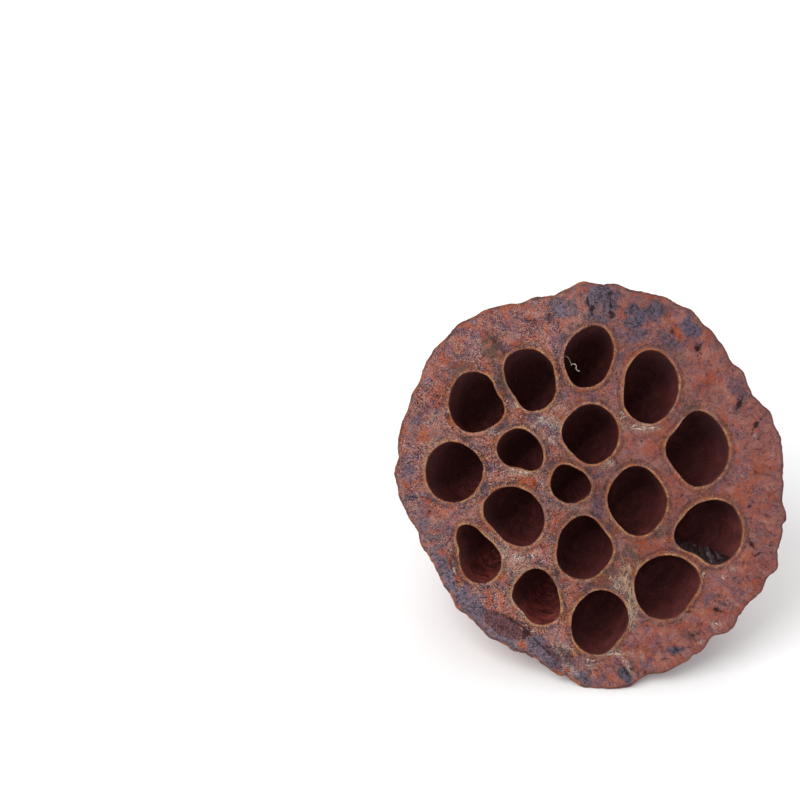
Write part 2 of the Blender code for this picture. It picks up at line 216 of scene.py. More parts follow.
# Creases of the margin: from, to, half width, depth
FACE_CREASES = (
    ((-33, -13.5), (-24.5, -24.5), 0.33, 0.35), ((-25.8, -27.2), (-18.1, -29.5), 0.34, 0.3),
    ((-19.6, -28.9), (-14.2, -32.6), 0.42, 0.5), ((-14, -33.5), (-9, -38), 0.3, 0.45),
    ((-9.5, -33.5), (-4, -38.5), 0.27, 0.35), ((-0.2, 38.2), (-0.9, 42.4), 0.3, 0.6),
    ((4.3, 37.6), (4, 43.4), 0.3, 0.6), ((8.8, 38.5), (9.6, 41.8), 0.24, 0.35),
    ((12.7, 37.6), (13.6, 40.6), 0.24, 0.35), ((19.5, 33.4), (22.6, 36.6), 0.26, 0.35),
    ((29, 15.5), (36, 18), 0.3, 0.25), ((31.7, 17.2), (34.3, 20.3), 0.36, 0.45),
    ((35.7, 12.2), (38, 15.5), 0.4, 0.4), ((22.8, 30.4), (24.7, 32), 0.3, 0.4),
    ((35.6, -15.6), (38.4, -14.6), 0.36, 0.4), ((35.2, -12), (36.4, -13.8), 0.34, 0.4),
    ((33.6, 9.6), (38, 8.4), 0.24, 0.25), ((36, 3.4), (40.6, 2.6), 0.24, 0.3),
    ((38, -5.9), (40.2, -6.7), 0.24, 0.4), ((35.5, -9.2), (41, -10.4), 0.22, 0.25),
    ((33.4, -17.3), (36.8, -16.8), 0.22, 0.4), ((29.5, -22), (36.5, -25.5), 0.26, 0.25),
    ((26.6, -26.8), (29.6, -28.4), 0.26, 0.4), ((20.5, -31.5), (24, -35.5), 0.26, 0.3),
    ((4.9, -37.8), (9, -43.4), 0.3, 0.4), ((3.2, -38.4), (6, -43), 0.26, 0.35),
    ((1, -39), (3, -43.5), 0.24, 0.3), ((-11, 33), (-13.5, 39), 0.3, 0.25),
    ((-19, 29), (-24.5, 36), 0.3, 0.3), ((-30.5, 12), (-37.5, 13.5), 0.26, 0.25),
)

# Patches of colour on the face: middle, reach across and up, turn, strength
VIOLET_PATCHES = (
    (2, 42.5, 4.2, 4.6, 0, 1), (-6.8, 40.2, 3.8, 2.6, 10, 0.95), (9.8, 38.3, 3.4, 3.4, -20, 1),
    (14.2, 39.6, 2.8, 2.6, -30, 0.9), (9.5, 34.6, 3.8, 2.8, 0, 0.65), (17, 32.6, 4.2, 2.6, -30, 0.6),
    (22.6, 35.6, 3.4, 2.7, -40, 0.85), (2, 38.5, 4, 3, 0, 0.6), (33, 21.5, 4.5, 2.5, -60, 0.55),
    (-6, 34.5, 3.5, 2, 30, 0.45), (-34, -19.5, 3, 7, 30, 0.95), (-27.5, -27, 3.2, 6, 40, 0.95),
    (-23.5, -33.5, 2.2, 4.5, 50, 0.8), (-12.6, -35.4, 2.2, 3, 50, 0.95),
    (-19.4, -35.4, 5.4, 1.9, -32, 0.95), (-10.5, -38, 5.5, 2.6, -30, 0.9), (-9.8, -38.2, 4.4, 1.4, -59, 1),
    (-2.2, -43.2, 3.4, 1.3, -40, 0.95), (-3, -40.8, 3.5, 1.6, -25, 0.5), (7, -42.1, 3, 1.3, -48, 1),
    (-38, -8, 2.2, 7, 8, 0.5), (-33.5, -10, 2.5, 3, 0, 0.5), (-41, 4, 2, 5, 0, 0.55),
    (-39.5, 14, 2.2, 4, -20, 0.5), (-31, 26, 3, 2.2, 45, 0.4), (-10.5, 14, 5, 2, -35, 0.55),
    (-21, 13, 3.5, 1.6, 0, 0.5), (-23.5, -3, 2, 5, 30, 0.5), (-6.5, 22, 1.8, 5, 0, 0.35),
    (5.5, 5, 1.8, 5, -30, 0.35), (0.5, -5.5, 1.8, 4, 10, 0.45), (-9, -3, 2.2, 2.2, 0, 0.4),
    (33.5, 2, 3, 2, 10, 0.3), (38, -15, 2.5, 1.8, 0, 0.35), (26, -25.5, 3.5, 1.6, 10, 0.3),
    (18.8, -36.7, 2.6, 1.2, 5, 0.85), (29.5, -26.5, 2.4, 1, -25, 0.4), (6, 31, 2.5, 4, 0, 0.3),
)
RED_PATCHES = (
    (26.8, 24.4, 5, 1.9, 40, 1), (24.2, 21.8, 2, 1.4, 0, 0.8), (18.8, 34.2, 1.6, 2.4, -20, 0.85),
    (22.8, 31.6, 2, 1.4, 0, 0.8), (14.6, 42, 2.4, 1.5, -20, 0.9), (25.5, 33.6, 1.6, 3, -40, 0.6),
    (-20, 31, 6, 2.5, 35, 0.6), (-34.5, 21, 2.5, 8, -35, 0.7), (-36, -4, 3, 3, 0, 0.5),
    (-31, -9, 2.6, 2.6, 0, 0.6), (36, -2, 4.5, 6, 0, 0.45), (37, -20, 4, 5, 0, 0.5),
    (24, -33, 8, 3, 30, 0.55), (9.5, -37, 4, 3, 0, 0.6), (8, 10.5, 2.5, 3, 0, 0.5),
    (14, 8.5, 3, 3, 0, 0.55), (-13, 15.5, 3.5, 1.2, -10, 0.6), (-8, -8, 2.5, 3.5, 0, 0.55),
    (3.5, -21, 2, 3, 0, 0.5), (19.5, -3, 1.8, 4, 0, 0.5), (-9, 5.5, 2, 1.5, 0, 0.5),
    (-25.5, -7, 2.5, 3, 30, 0.4), (17.5, -13.6, 6.5, 2, -8, 1), (11, -13, 2.5, 2.5, 0, 0.9),
    (-3.6, -24, 1.6, 4, 20, 0.6), (4.6, -8.5, 2, 3, 30, 0.6), (19, -32, 6.5, 2.2, 25, 0.55),
    (37.5, 6, 2.5, 6, 0, 0.4), (15.5, 13, 5, 1.4, 8, 0.6),
)
# Where the skin is sunken, brown and finely rough
OVAL_PATCHES = (
    (-20.1, -31.2, 5.8, 2.3, -33, 1), (-7.5, -37.5, 4.2, 2, -32, 0.8),
)
OLIVE_PATCHES = (
    (-20.5, 24.5, 1.8, 5.5, 25, 0.95), (-22.4, 31.2, 2.4, 3.8, 15, 0.85), (4.5, -21, 3, 4.5, 20, 0.7),
    (8.5, -15.5, 3.5, 2.2, 0, 0.7), (20.5, -17.8, 3.2, 0.9, -25, 0.6), (8.6, -25.5, 1.6, 5, 0, 0.9),
    (22, 18, 2.2, 4.5, -20, 0.65), (19.5, 29.5, 4, 1.6, -30, 0.4), (27, 20.5, 3.5, 2, -50, 0.35),
    (-3, -7, 3, 1.4, 0, 0.5), (14.8, -10.4, 2.8, 1.1, 30, 0.8), (8.2, -13.8, 2.4, 1.2, 10, 0.75),
    (8.8, -40.4, 1.2, 1.4, 0, 0.8), (4.6, -36, 3.5, 1.6, -20, 0.4), (21.5, -33.5, 3, 2, 0, 0.35),
    (-30, 27, 4, 2.5, 40, 0.35),
)
# Where pale lint clings to the webs
LINT_PATCHES = (
    (-9, 14.5, 3.6, 1.6, -30, 1), (-16, 3.2, 4.5, 0.9, 0, 1), (-7.5, 17.5, 2.2, 1.2, -20, 0.8),
    (11.5, 13.3, 4.5, 1, 0, 1), (6.2, 15.6, 1, 2.5, 20, 0.7), (-24.5, -11, 2.2, 1.6, 0, 0.6),
    (-20.5, -15, 3.2, 2.2, 40, 0.95), (-17, -17.5, 2.6, 3.6, 0, 0.7), (-22.5, 12, 3, 1.4, 0, 0.5),
    (-35.5, 12, 2, 6, -10, 0.4), (6.5, -22, 2.6, 2.2, 60, 1), (8.8, -27.5, 1.4, 4.5, 0, 1),
    (5.5, -37.4, 6, 1, 0, 0.7), (-6.5, -36, 3.5, 1, -30, 0.7), (-17, -26.5, 1.2, 5, 35, 0.6),
    (3, 4.8, 2.6, 0.8, 20, 0.8), (-4, -4.8, 3, 0.8, 0, 0.6), (36.5, 11.5, 0.5, 0.5, 0, 1),
    (27.3, -31, 1.4, 0.6, -50, 0.8), (24.5, -35, 1.2, 0.5, 20, 0.7), (32, -18.5, 1.5, 0.6, 0, 0.6),
    (-17, 33.5, 0.5, 0.7, 0, 0.9), (14, -9, 2.5, 0.7, 0, 0.4), (7.9, -40.2, 3.4, 0.5, -57, 1),
    (-8.2, -36.6, 3.6, 0.5, -52, 0.8), (-4.6, -41, 2.8, 0.5, -48, 0.8), (-0.6, -40.4, 1.2, 0.6, -20, 1),
    (11.2, -37.8, 0.5, 1.8, 10, 0.7),
)
# No patch shows further than this from its middle
PATCH_LIMIT = 14.0
# Each mask of patches, with how ragged its edge is, and the layer, size and octaves of that noise
PATCHES = {
    "violet": (VIOLET_PATCHES, 0.45, 20.0, 2.2, 4),
    "red": (RED_PATCHES, 0.45, 30.0, 2.0, 4),
    "olive": (OLIVE_PATCHES, 0.5, 40.0, 1.4, 4),
    "lint": (LINT_PATCHES, 0.35, 50.0, 1.0, 3),
    "oval": (OVAL_PATCHES, 0.2, 70.0, 1.6, 3),
}
MASKS = (*PATCHES, "gap", "inset", "relief", "dark", "deep", "glow")

# Painted light and shade on the cell walls: the direction of the walls painted lightest, how much painted
# light each cell's walls get, and the amount for other cells
PAINTED_LIGHTING_TURN = radians(-50.0)
PAINTED_LIGHTING = {8: 1.0, 9: 1.0, 0: 0.45, 10: 0.6, 14: 0.4, 2: 0.35, 4: 0.12}
PAINTED_LIGHTING_ELSEWHERE = 0.2

# Lint on the webs: middle, reach across and up, heading and its spread, number of fibres, length, tone
LINT_CLUMPS = (
    (-11.8, 15.1, 1.36, 0.64, -30, 50, 16, 0.75, 0), (-13.6, 13.7, 0.77, 0.4, -20, 60, 8, 0.6, 0.1),
    (-9.9, 10.9, 0.77, 0.4, -30, 12, 7, 1.3, 0), (-19, 4, 1.02, 0.32, 0, 40, 9, 0.65, 0.1),
    (-15.4, 3.4, 1.36, 0.32, -10, 40, 10, 0.7, 0.1), (-17.4, -15.8, 1.27, 0.64, 20, 90, 21, 0.75, 0.1),
    (-13.6, -15.5, 0.68, 0.4, 60, 70, 8, 0.7, 0.1), (-17.4, 18.6, 0.42, 0.72, -60, 30, 8, 0.7, 0.1),
    (-15.4, 17.4, 0.77, 0.24, -30, 25, 7, 0.65, 0), (11.4, 13.3, 3.06, 0.32, 0, 22, 28, 0.9, 0.15),
    (6.4, 15.8, 0.34, 1.28, 70, 30, 10, 0.7, 0.2), (3.6, 5.4, 0.68, 0.48, 30, 60, 9, 0.65, 0.1),
    (28, -30.6, 0.85, 0.4, -20, 40, 8, 0.6, 0), (29.3, -20.2, 0.68, 0.32, 0, 40, 7, 0.6, 0.1),
    (-0.8, -39.2, 1.19, 0.32, 10, 30, 8, 0.6, 0.1), (-31, -18.2, 0.34, 0.96, -50, 25, 8, 0.65, 0.2),
    (-13.6, -32.4, 1.02, 0.4, -30, 50, 8, 0.6, 0.1), (24.9, -20, 0.34, 0.8, 60, 30, 7, 0.6, 0.1),
    (-22.5, 12.2, 0.85, 0.48, 20, 60, 7, 0.55, 0.2), (30.5, 20.2, 0.17, 0.16, 40, 90, 3, 0.3, 0),
    (33.4, 2.5, 0.17, 0.16, 0, 90, 3, 0.35, 0), (8.2, -18.6, 1.7, 1.2, 100, 60, 48, 1.5, 0.66),
    (7.4, -22, 1, 1.8, 80, 40, 46, 1.7, 0.6), (8.6, -26.4, 0.7, 2.4, 95, 22, 42, 1.8, 0.55),
    (8.4, -31.6, 0.5, 2, 75, 22, 20, 1.5, 0.5), (5.8, -37.6, 2.38, 0.32, 5, 25, 14, 0.75, 0.3),
    (4.2, -20.6, 1, 0.5, 10, 50, 10, 1.04, 0.5),
)
LINT_RADIUS = 0.05
LINT_CLEAR = 0.1
LINT_STEP = 0.22
# Rusty fuzz round the neck: how many fibres, and how far up the cone they reach as a share of its depth
FUZZ_COUNT = 420
FUZZ_BAND = (0.93, 0.998)
# A pale curl hung by a thread in one cell: their points, with the last number the depth below the mouth
SHRED_CELL = 2
SHRED_THREAD = ((-7.2, 28.6, 1.2), (-6.3, 29.5, 1.6), (-5.4, 29.1, 2.0), (-4.9, 28.2, 2.2), (-4.6, 27.6, 2.4))
SHRED_CURL = (
    (-4.7, 27.4, 2.4), (-4.6, 27.6, 2.4), (-3.9, 27.7, 2.4), (-3.5, 27.2, 2.5), (-3.6, 26.7, 2.6),
    (-3.2, 26.2, 2.7), (-2.7, 26.1, 2.8),
)
THREAD_RADIUS = 0.028
CURL_RADIUS = 0.085
SHRED_STEPS = 4
# The torn skin left across the lower edge of one cell: which cell, from and to in degrees, reach and drop
FILM_CELL = 5
FILM_TURN = (188.0, 312.0)
FILM_REACH = 0.52
FILM_DROP = 2.6
FILM_THICKNESS = 0.08
FILM_STEPS = (40, 14)

# Colours as they show on a screen
ROSE = (158, 106, 104)
BRICK = (164, 94, 78)
RUST = (150, 68, 48)
UMBER = (84, 52, 49)
MAUVE = (118, 86, 98)
SLATE = (82, 78, 98)
NIGHT = (50, 46, 60)
BLOOD = (112, 44, 50)
TAN = (216, 156, 108)
LIP_ROOT = (146, 92, 64)
CREAM = (206, 188, 170)
PALE = (190, 150, 138)
# Painted shade in dents, creases and pores
PAINTED_SHADE = (40, 28, 32)


def spline(a, b, c, d, t):
    """A smooth curve through four evenly spaced values, read at a share of the way from b to c."""
    return b + 0.5 * t * (c - a + t * (2 * a - 5 * b + 4 * c - d + t * (3 * (b - c) + d - a)))


def closed_curve(values, position):
    """A smooth closed curve through evenly spaced values, read at a position counted in their steps."""
    start = int(position // 1)
    return spline(*(values[(start + k) % len(values)] for k in (-1, 0, 1, 2)), position - start)


def bell(distance, half_width):
    return exp(-((distance / half_width) ** 2))


def smooth(low, high, value):
    share = min(1.0, max(0.0, (value - low) / (high - low)))
    return share * share * (3.0 - 2.0 * share)


def turn_between(angle, other):
    """The shorter turn between two directions, in degrees."""
    return (angle - other + 180.0) % 360.0 - 180.0


def turns(count):
    """The directions of evenly spaced points round a ring."""
    return [tau * step / count for step in range(count)]


def reached(reach, angle, x=0.0, y=0.0):
    """Where a reach in a direction leads from a point."""
    return x + reach * cos(angle), y + reach * sin(angle)


def rough(x, y, z, size, octaves=3):
    """Seeded fractal noise about 0, with features of the given size in millimetres."""
    return noise.fractal(Vector((x / size, y / size, z / size + SEED)), 0.9, 2.1, octaves)


def rim_reach(angle):
    """How far the rim reaches in a direction given in radians."""
    compass = degrees(angle) % 360.0
    reach = closed_curve(RIM_REACH, compass / 15.0)
    reach += sum(high * bell(turn_between(compass, at), wide) for at, high, wide in RIM_KNOBS)
    reach += sum(high * sin(count * angle + phase) for count, high, phase in RIM_CRIMPS)
    reach -= sum(deep * bell(turn_between(compass, at), wide) for at, deep, wide in RIM_NICKS)
    return reach - RIM_FRAY * abs(rough(*reached(40.0, angle), 60.0, 1.7, 3))


def rib_wave(angle, count):
    """Round ribs of uneven width with sharper furrows between them, from -1 to 1."""
    uneven = 0.5 * sin(3 * angle + 1.0) + 0.35 * sin(7 * angle + 2.6)
    return 1.0 - 2.0 * (1.0 - abs(sin(0.5 * count * angle + uneven))) ** 1.6


def inset_at(x, y):
    """How far in from the rim a point of the face lies."""
    return rim_reach(atan2(y, x)) - hypot(x, y)


def face_height(x, y):
    """Height of the seed face as the part has it."""
    angle, inset = atan2(y, x), inset_at(x, y)
    dome = DOME_HEIGHT * (1.0 - (hypot(x, y) / DOME_RADIUS) ** 2)
    roll = ROLL_DROP * max(0.0, 1.0 - inset / ROLL_WIDTH) ** 2
    lean = 0.5 + 0.5 * cos(angle - radians(TROUGH_DIRECTION))
    trough = TROUGH_DEPTH * lean * bell(inset - TROUGH_INSET, TROUGH_HALF_WIDTH)
    wrinkle = WRINKLE_HEIGHT * max(0.0, 1.0 - inset / MARGIN_WIDTH) * rib_wave(angle, RIB_COUNT)
    return dome - roll - trough + wrinkle


def mouth_reach(cell, angle):
    """How far a cell's mouth reaches from its middle, with the small unevenness of a torn, dried edge."""
    x, y, turn, reaches = cell
    reach = closed_curve(reaches, (angle - radians(turn)) / tau * len(reaches))
    return reach + 0.10 * rough(*reached(9.0, angle, x, y), 3.0, 2.2, 2)


def outside_mouth(x, y, cell):
    """Distance from a point of the face out to a cell's mouth, negative inside it and a guess far off."""
    dx, dy = x - cell[0], y - cell[1]
    radius = hypot(dx, dy)
    if radius > FAR_OFF:
        return radius - FAR_OFF_REACH
    return radius - mouth_reach(cell, atan2(dy, dx))


def gap_at(x, y):
    """Distance from a point of the face out to the nearest mouth."""
    return min(outside_mouth(x, y, cell) for cell in CELLS)


def lip_height(distance):
    """The raised lip round a mouth, by distance out from the mouth's edge."""
    if distance < LIP_CREST:
        return LIP_HEIGHT * (0.72 + 0.28 * smooth(-0.2, LIP_CREST, distance))
    return LIP_HEIGHT * (1.0 - smooth(LIP_CREST, LIP_WIDTH, distance))


def along_line(x, y, start, end):
    """Distance from a point to a stretch of line, and the share of the way along it."""
    ax, ay = end[0] - start[0], end[1] - start[1]
    share = ((x - start[0]) * ax + (y - start[1]) * ay) / (ax * ax + ay * ay)
    share = min(1.0, max(0.0, share))
    return hypot(x - start[0] - share * ax, y - start[1] - share * ay), share


def creases_from(x, y):
    """Half width and depth of each crease, with how far off it runs and the share of the way along it."""
    bend = 0.6 * rough(x, y, 12.0, 4.0, 2)
    for start, end, half_width, deep in FACE_CREASES:
        yield half_width, deep, *along_line(x + bend, y - bend, start, end)


def fine_relief(x, y, inset, gap):
    """Small relief of the dried face: leathery lumps, radial wrinkles on the margin, dents and creases."""
    margin = smooth(11.0, 4.0, inset) * smooth(0.8, 2.5, gap)
    height = 0.16 * rough(x, y, 0.0, 3.4, 3) + 0.10 * rough(x, y, 5.0, 1.1, 3)
    height += 0.22 * margin * rough(x, y, 15.0, 2.4, 3)
    ripple = rough(*reached(34.0, atan2(y, x)), hypot(x, y) * 0.16, 1.5, 3)
    height += margin * (0.30 * ripple - 0.12 * abs(rough(x, y, 25.0, 1.3, 2)))
    for dx, dy, reach, high in FACE_DENTS:
        away = hypot(x - dx, y - dy)
        if away < 2.6 * reach:
            height += high * bell(away * (1.0 + 0.25 * rough(x, y, 9.0, 1.6, 2)), reach)
    for half_width, deep, away, share in creases_from(x, y):
        if away < 3.0 * half_width:
            height -= deep * bell(away, half_width) * smooth(0.0, 0.2, share) * smooth(1.0, 0.8, share)
    return height * (0.4 + 0.6 * smooth(0.0, 0.5, inset)) * (0.45 + 0.55 * smooth(0.1, 1.0, gap))


def face_point(x, y):
    """A point of the fine face, its inset, its gap to a mouth, its relief and its place round that mouth."""
    inset = inset_at(x, y)
    gaps = [outside_mouth(x, y, cell) for cell in CELLS]
    gap = min(gaps)
    nearest = gaps.index(gap)
    turn = atan2(y - CELLS[nearest][1], x - CELLS[nearest][0])
    ring = (1.3 * gap + 7.0 * nearest, *reached(2.2, turn))
    lip = max(lip_height(g) for g in gaps if g < LIP_WIDTH) if gap < LIP_WIDTH else 0.0
    relief = fine_relief(x, y, inset, gap)
    lip *= 0.85 + 0.3 * rough(x, y, 80.0, 2.0, 2)
    level = face_height(x, y) + lip + relief
    if inset < 0.9:
        level -= 0.25 * (1.0 - inset / 0.9) ** 2
    return (x, y, level), inset, gap, relief, ring


def face_outline_points():
    """Flat points: rings in from the rim, rings out from each mouth and a jittered grid between them."""
    points, edges, kinds = [], [], []

    def add_ring(ring, kind):
        first, count = len(points), len(ring)
        points.extend(ring)
        kinds.extend([kind] * count)
        if kind is not None:
            edges.extend((first + k, first + (k + 1) % count) for k in range(count))

    for inset in RIM_INSETS:
        ring = [reached(rim_reach(angle) - inset, angle) for angle in turns(RIM_STEPS)]
        add_ring(ring, None if inset else "rim")
    for number, cell in enumerate(CELLS):
        others = [other for other in CELLS if other is not cell]
        for offset in MOUTH_OFFSETS:
            ring = [reached(mouth_reach(cell, a) + offset, a, *cell[:2]) for a in turns(MOUTH_STEPS)]
            if offset:
                ring = [p for p in ring if min(outside_mouth(*p, other) for other in others) > offset + 0.12]
            add_ring(ring, None if offset else number)
    draw = random.Random(SEED)
    row_height = sqrt(3) / 2
    rows, columns = int(2 * GRID_HALF / (GRID_STEP * row_height)), int(GRID_HALF / GRID_STEP)
    for row in range(-rows // 2, rows // 2):
        for column in range(-columns, columns):
            x = (column + 0.5 * (row % 2) + draw.uniform(-GRID_JITTER, GRID_JITTER)) * GRID_STEP
            y = (row * row_height + draw.uniform(-GRID_JITTER, GRID_JITTER)) * GRID_STEP
            if inset_at(x, y) >= RIM_INSETS[-1] + 0.3 and gap_at(x, y) >= MOUTH_OFFSETS[-1] + 0.25:
                points.append((x, y))
                kinds.append(None)
    return points, edges, kinds


def side_share(depth_share):
    """Share of the reach from neck to rim, by share of the depth, through the part's profile."""
    for (low, a), (high, b) in zip(SIDE_PROFILE, SIDE_PROFILE[1:]):
        if depth_share <= high:
            return a + (b - a) * (depth_share - low) / (high - low)
    return SIDE_PROFILE[-1][1]


def shoulder(angle, depth_share):
    """How much further out the cone swells in a direction, as a share of the reach from neck to rim."""
    from_underside = abs(turn_between(degrees(angle), UNDERSIDE_DIRECTION))
    blend = smooth(0.0, UNDERSIDE_BLEND, from_underside - UNDERSIDE_HALF_WIDTH)
    return SHOULDER_SWELL * blend * sin(pi * depth_share)


def side_point(angle, depth_share, rim_height):
    """A point of the fine cone."""
    relief = sin(pi * min(1.0, depth_share * 1.1 + 0.02))
    share = side_share(depth_share) + shoulder(angle, depth_share)
    reach = NECK_RADIUS + (rim_reach(angle) - NECK_RADIUS) * share
    reach += relief * FOLD_HEIGHT * sin(FOLD_COUNT * angle + 0.9 * sin(2 * angle))
    reach += relief * RIB_HEIGHT * rib_wave(angle, RIB_COUNT)
    depth = NECK_DEPTH * depth_share
    furrow = rough(*reached(15.0, angle), depth * 0.05, 1.1, 3)
    fibre = rough(*reached(30.0, angle), depth * 0.04, 0.8, 2)
    lump = rough(*reached(30.0, angle), depth, 6.0, 2)
    fade = smooth(0.0, 0.06, depth_share) * (0.35 + 0.65 * smooth(1.0, 0.75, depth_share))
    pleat = rib_wave(angle + 0.012 * lump, PLEAT_COUNT) * smooth(0.05, 0.5, depth_share)
    reach += fade * (-0.42 * abs(furrow) + 0.09 * fibre + 0.15 * lump + PLEAT_HEIGHT * (pleat - 1.0))
    x, y = reached(reach, angle, NECK_CENTRE[0] * depth_share, NECK_CENTRE[1] * depth_share)
    return x, y, rim_height * (1.0 - depth_share) - depth


def wall_scale(depth, deep):
    """Share of the mouth's reach at a depth in a cell, through the part's profile."""
    stops = [(0.0, CELL_MOUTH_SCALE)]
    stops += [(at * deep, scale) for at, scale in CELL_PROFILE]
    stops.append((CELL_DEPTH * deep, 0.0))
    for (low, a), (high, b) in zip(stops, stops[1:]):
        if depth <= high:
            share = (depth - low) / (high - low)
            if high > CELL_FLOOR_FROM * deep:
                return a * sqrt(max(0.0, 1.0 - share ** 1.6))
            return a + (b - a) * share
    return 0.0


def pod_matrix():
    """From the pod's frame, in millimetres, to where it lies in the world."""
    fall = RIM_LOW_REACH - STUB_LOW_RADIUS + NECK_CENTRE[1]
    lean = atan2(fall, STUB_LOW_DEPTH - RIM_LOW_DEPTH)
    height = RIM_LOW_REACH * cos(lean) + RIM_LOW_DEPTH * sin(lean)
    place = Matrix.Translation((BOX_SHIFT[0] * MM, BOX_SHIFT[1] * MM, height * MM))
    return place @ Matrix.Rotation(pi / 2 - lean, 4, "X") @ Matrix.Scale(MM, 4)


POD = pod_matrix()


def put_in_scene(name, data):
    thing = bpy.data.objects.new(name, data)
    bpy.context.scene.collection.objects.link(thing)
    return thing


class Build:
    """Points and faces of one piece in the pod's frame, with a value of each named mask at every point."""

    def __init__(self, *masks):
        self.points, self.grain, self.rings = [], [], []
        self.faces, self.materials = [], []
        self.masks = {name: [] for name in masks}

    def add(self, point, grain, ring=(0.0, 0.0, 0.0), **masks):
        self.points.append(point)
        self.grain.append(grain)
        self.rings.append(ring)
        for name, values in self.masks.items():
            values.append(masks.get(name, 0.0))
        return len(self.points) - 1

    def face(self, corners, material=0):
        self.faces.append(corners)
        self.materials.append(material)

    def bridge(self, above, below, material=0):
        ends = list(zip(above, below))
        for (a, b), (c, d) in zip(ends, ends[1:] + ends[:1]):
            self.face((a, b, d, c), material)

    def fan(self, middle, ring, material=0, flipped=False):
        for before, after in zip(ring, ring[1:] + ring[:1]):
            self.face((middle, before, after) if flipped else (middle, after, before), material)

    def finish(self, piece_name, materials, slot="pod_skin"):
        placed = [POD @ Vector(point) for point in self.points]
        inside = [tuple(min(max(v, a), b) for v, a, b in zip(p, *CAD_BOX)) for p in placed]
        mesh = bpy.data.meshes.new(piece_name)
        mesh.from_pydata(inside, [], self.faces)
        for material in materials:
            mesh.materials.append(material)
        mesh.polygons.foreach_set("material_index", self.materials)
        for mask, values in self.masks.items():
            mesh.attributes.new(mask, "FLOAT", "POINT").data.foreach_set("value", values)
        for name, vectors in (("skin", self.points), ("grain", self.grain), ("ring", self.rings)):
            attribute = mesh.attributes.new(name, "FLOAT_VECTOR", "POINT")
            attribute.data.foreach_set("vector", [part for vector in vectors for part in vector])
        mesh.validate()
        mesh.update()
        mesh.shade_smooth()
        piece = put_in_scene(piece_name, mesh)
        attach(piece, "root")
        return piece


def patch_mask(x, y, patches, wander):
    """How strongly any of the patches colours a point, with a ragged edge."""
    strongest = 0.0
    for px, py, across, up, turn, strength in patches:
        dx, dy = x - px, y - py
        if max(abs(dx), abs(dy)) > PATCH_LIMIT:
            continue
        c, s = cos(radians(turn)), sin(radians(turn))
        away = hypot((dx * c + dy * s) / across, (dy * c - dx * s) / up)
        strongest = max(strongest, strength * smooth(1.35, 0.35, away + wander))
    return strongest


def face_masks(x, y, inset, gap):
    """Masks of the face's colouring at one point."""
    masks = {"gap": min(4.0, max(0.0, gap)), "inset": min(12.0, max(0.0, inset))}
    for name, (patches, ragged, *noise_values) in PATCHES.items():
        masks[name] = patch_mask(x, y, patches, ragged * rough(x, y, *noise_values))
    # Painted shade in the dents that sink in and along the creases
    dark = 0.0
    tatter = 1.0 + 0.9 * rough(x, y, 60.0, 0.9, 3)
    for dx, dy, reach, high in FACE_DENTS:
        if high < 0.0:
            dent_shade = min(1.0, -2.2 * high) * (1.0 if reach < 1.5 else 0.25)
            dark = max(dark, dent_shade * bell(hypot(x - dx, y - dy) * tatter, 1.2 * reach))
    for half_width, deep, away, share in creases_from(x, y):
        dark = max(dark, 1.5 * deep * bell(away * tatter, 0.8 * half_width) * smooth(0.0, 0.2, share))
    masks["dark"] = min(1.0, dark)
    return masks


def add_face(build):
    """The seed face. Returns the point numbers round the rim and round each mouth."""
    points, edges, kinds = face_outline_points()
    flat, _, faces, origins, _, _ = delaunay_2d_cdt([Vector(p) for p in points], edges, [], 0, 1e-5)
    numbers = []
    for x, y in flat:
        place, inset, gap, relief, ring = face_point(x, y)
        grain = (*reached(34.0, atan2(y, x)), hypot(x, y) * 0.2)
        numbers.append(build.add(place, grain, ring, relief=relief, **face_masks(x, y, inset, gap)))
    for corners in faces:
        x, y = (sum(flat[k][axis] for k in corners) / len(corners) for axis in (0, 1))
        if inset_at(x, y) >= 0.0 and gap_at(x, y) >= 0.0:
            build.face(tuple(numbers[k] for k in corners))
    loops = {}
    for number, sources in zip(numbers, origins):
        for source in sources:
            if kinds[source] is not None:
                loops.setdefault(kinds[source], []).append((source, number))
    return {kind: [number for _, number in sorted(loop)] for kind, loop in loops.items()}


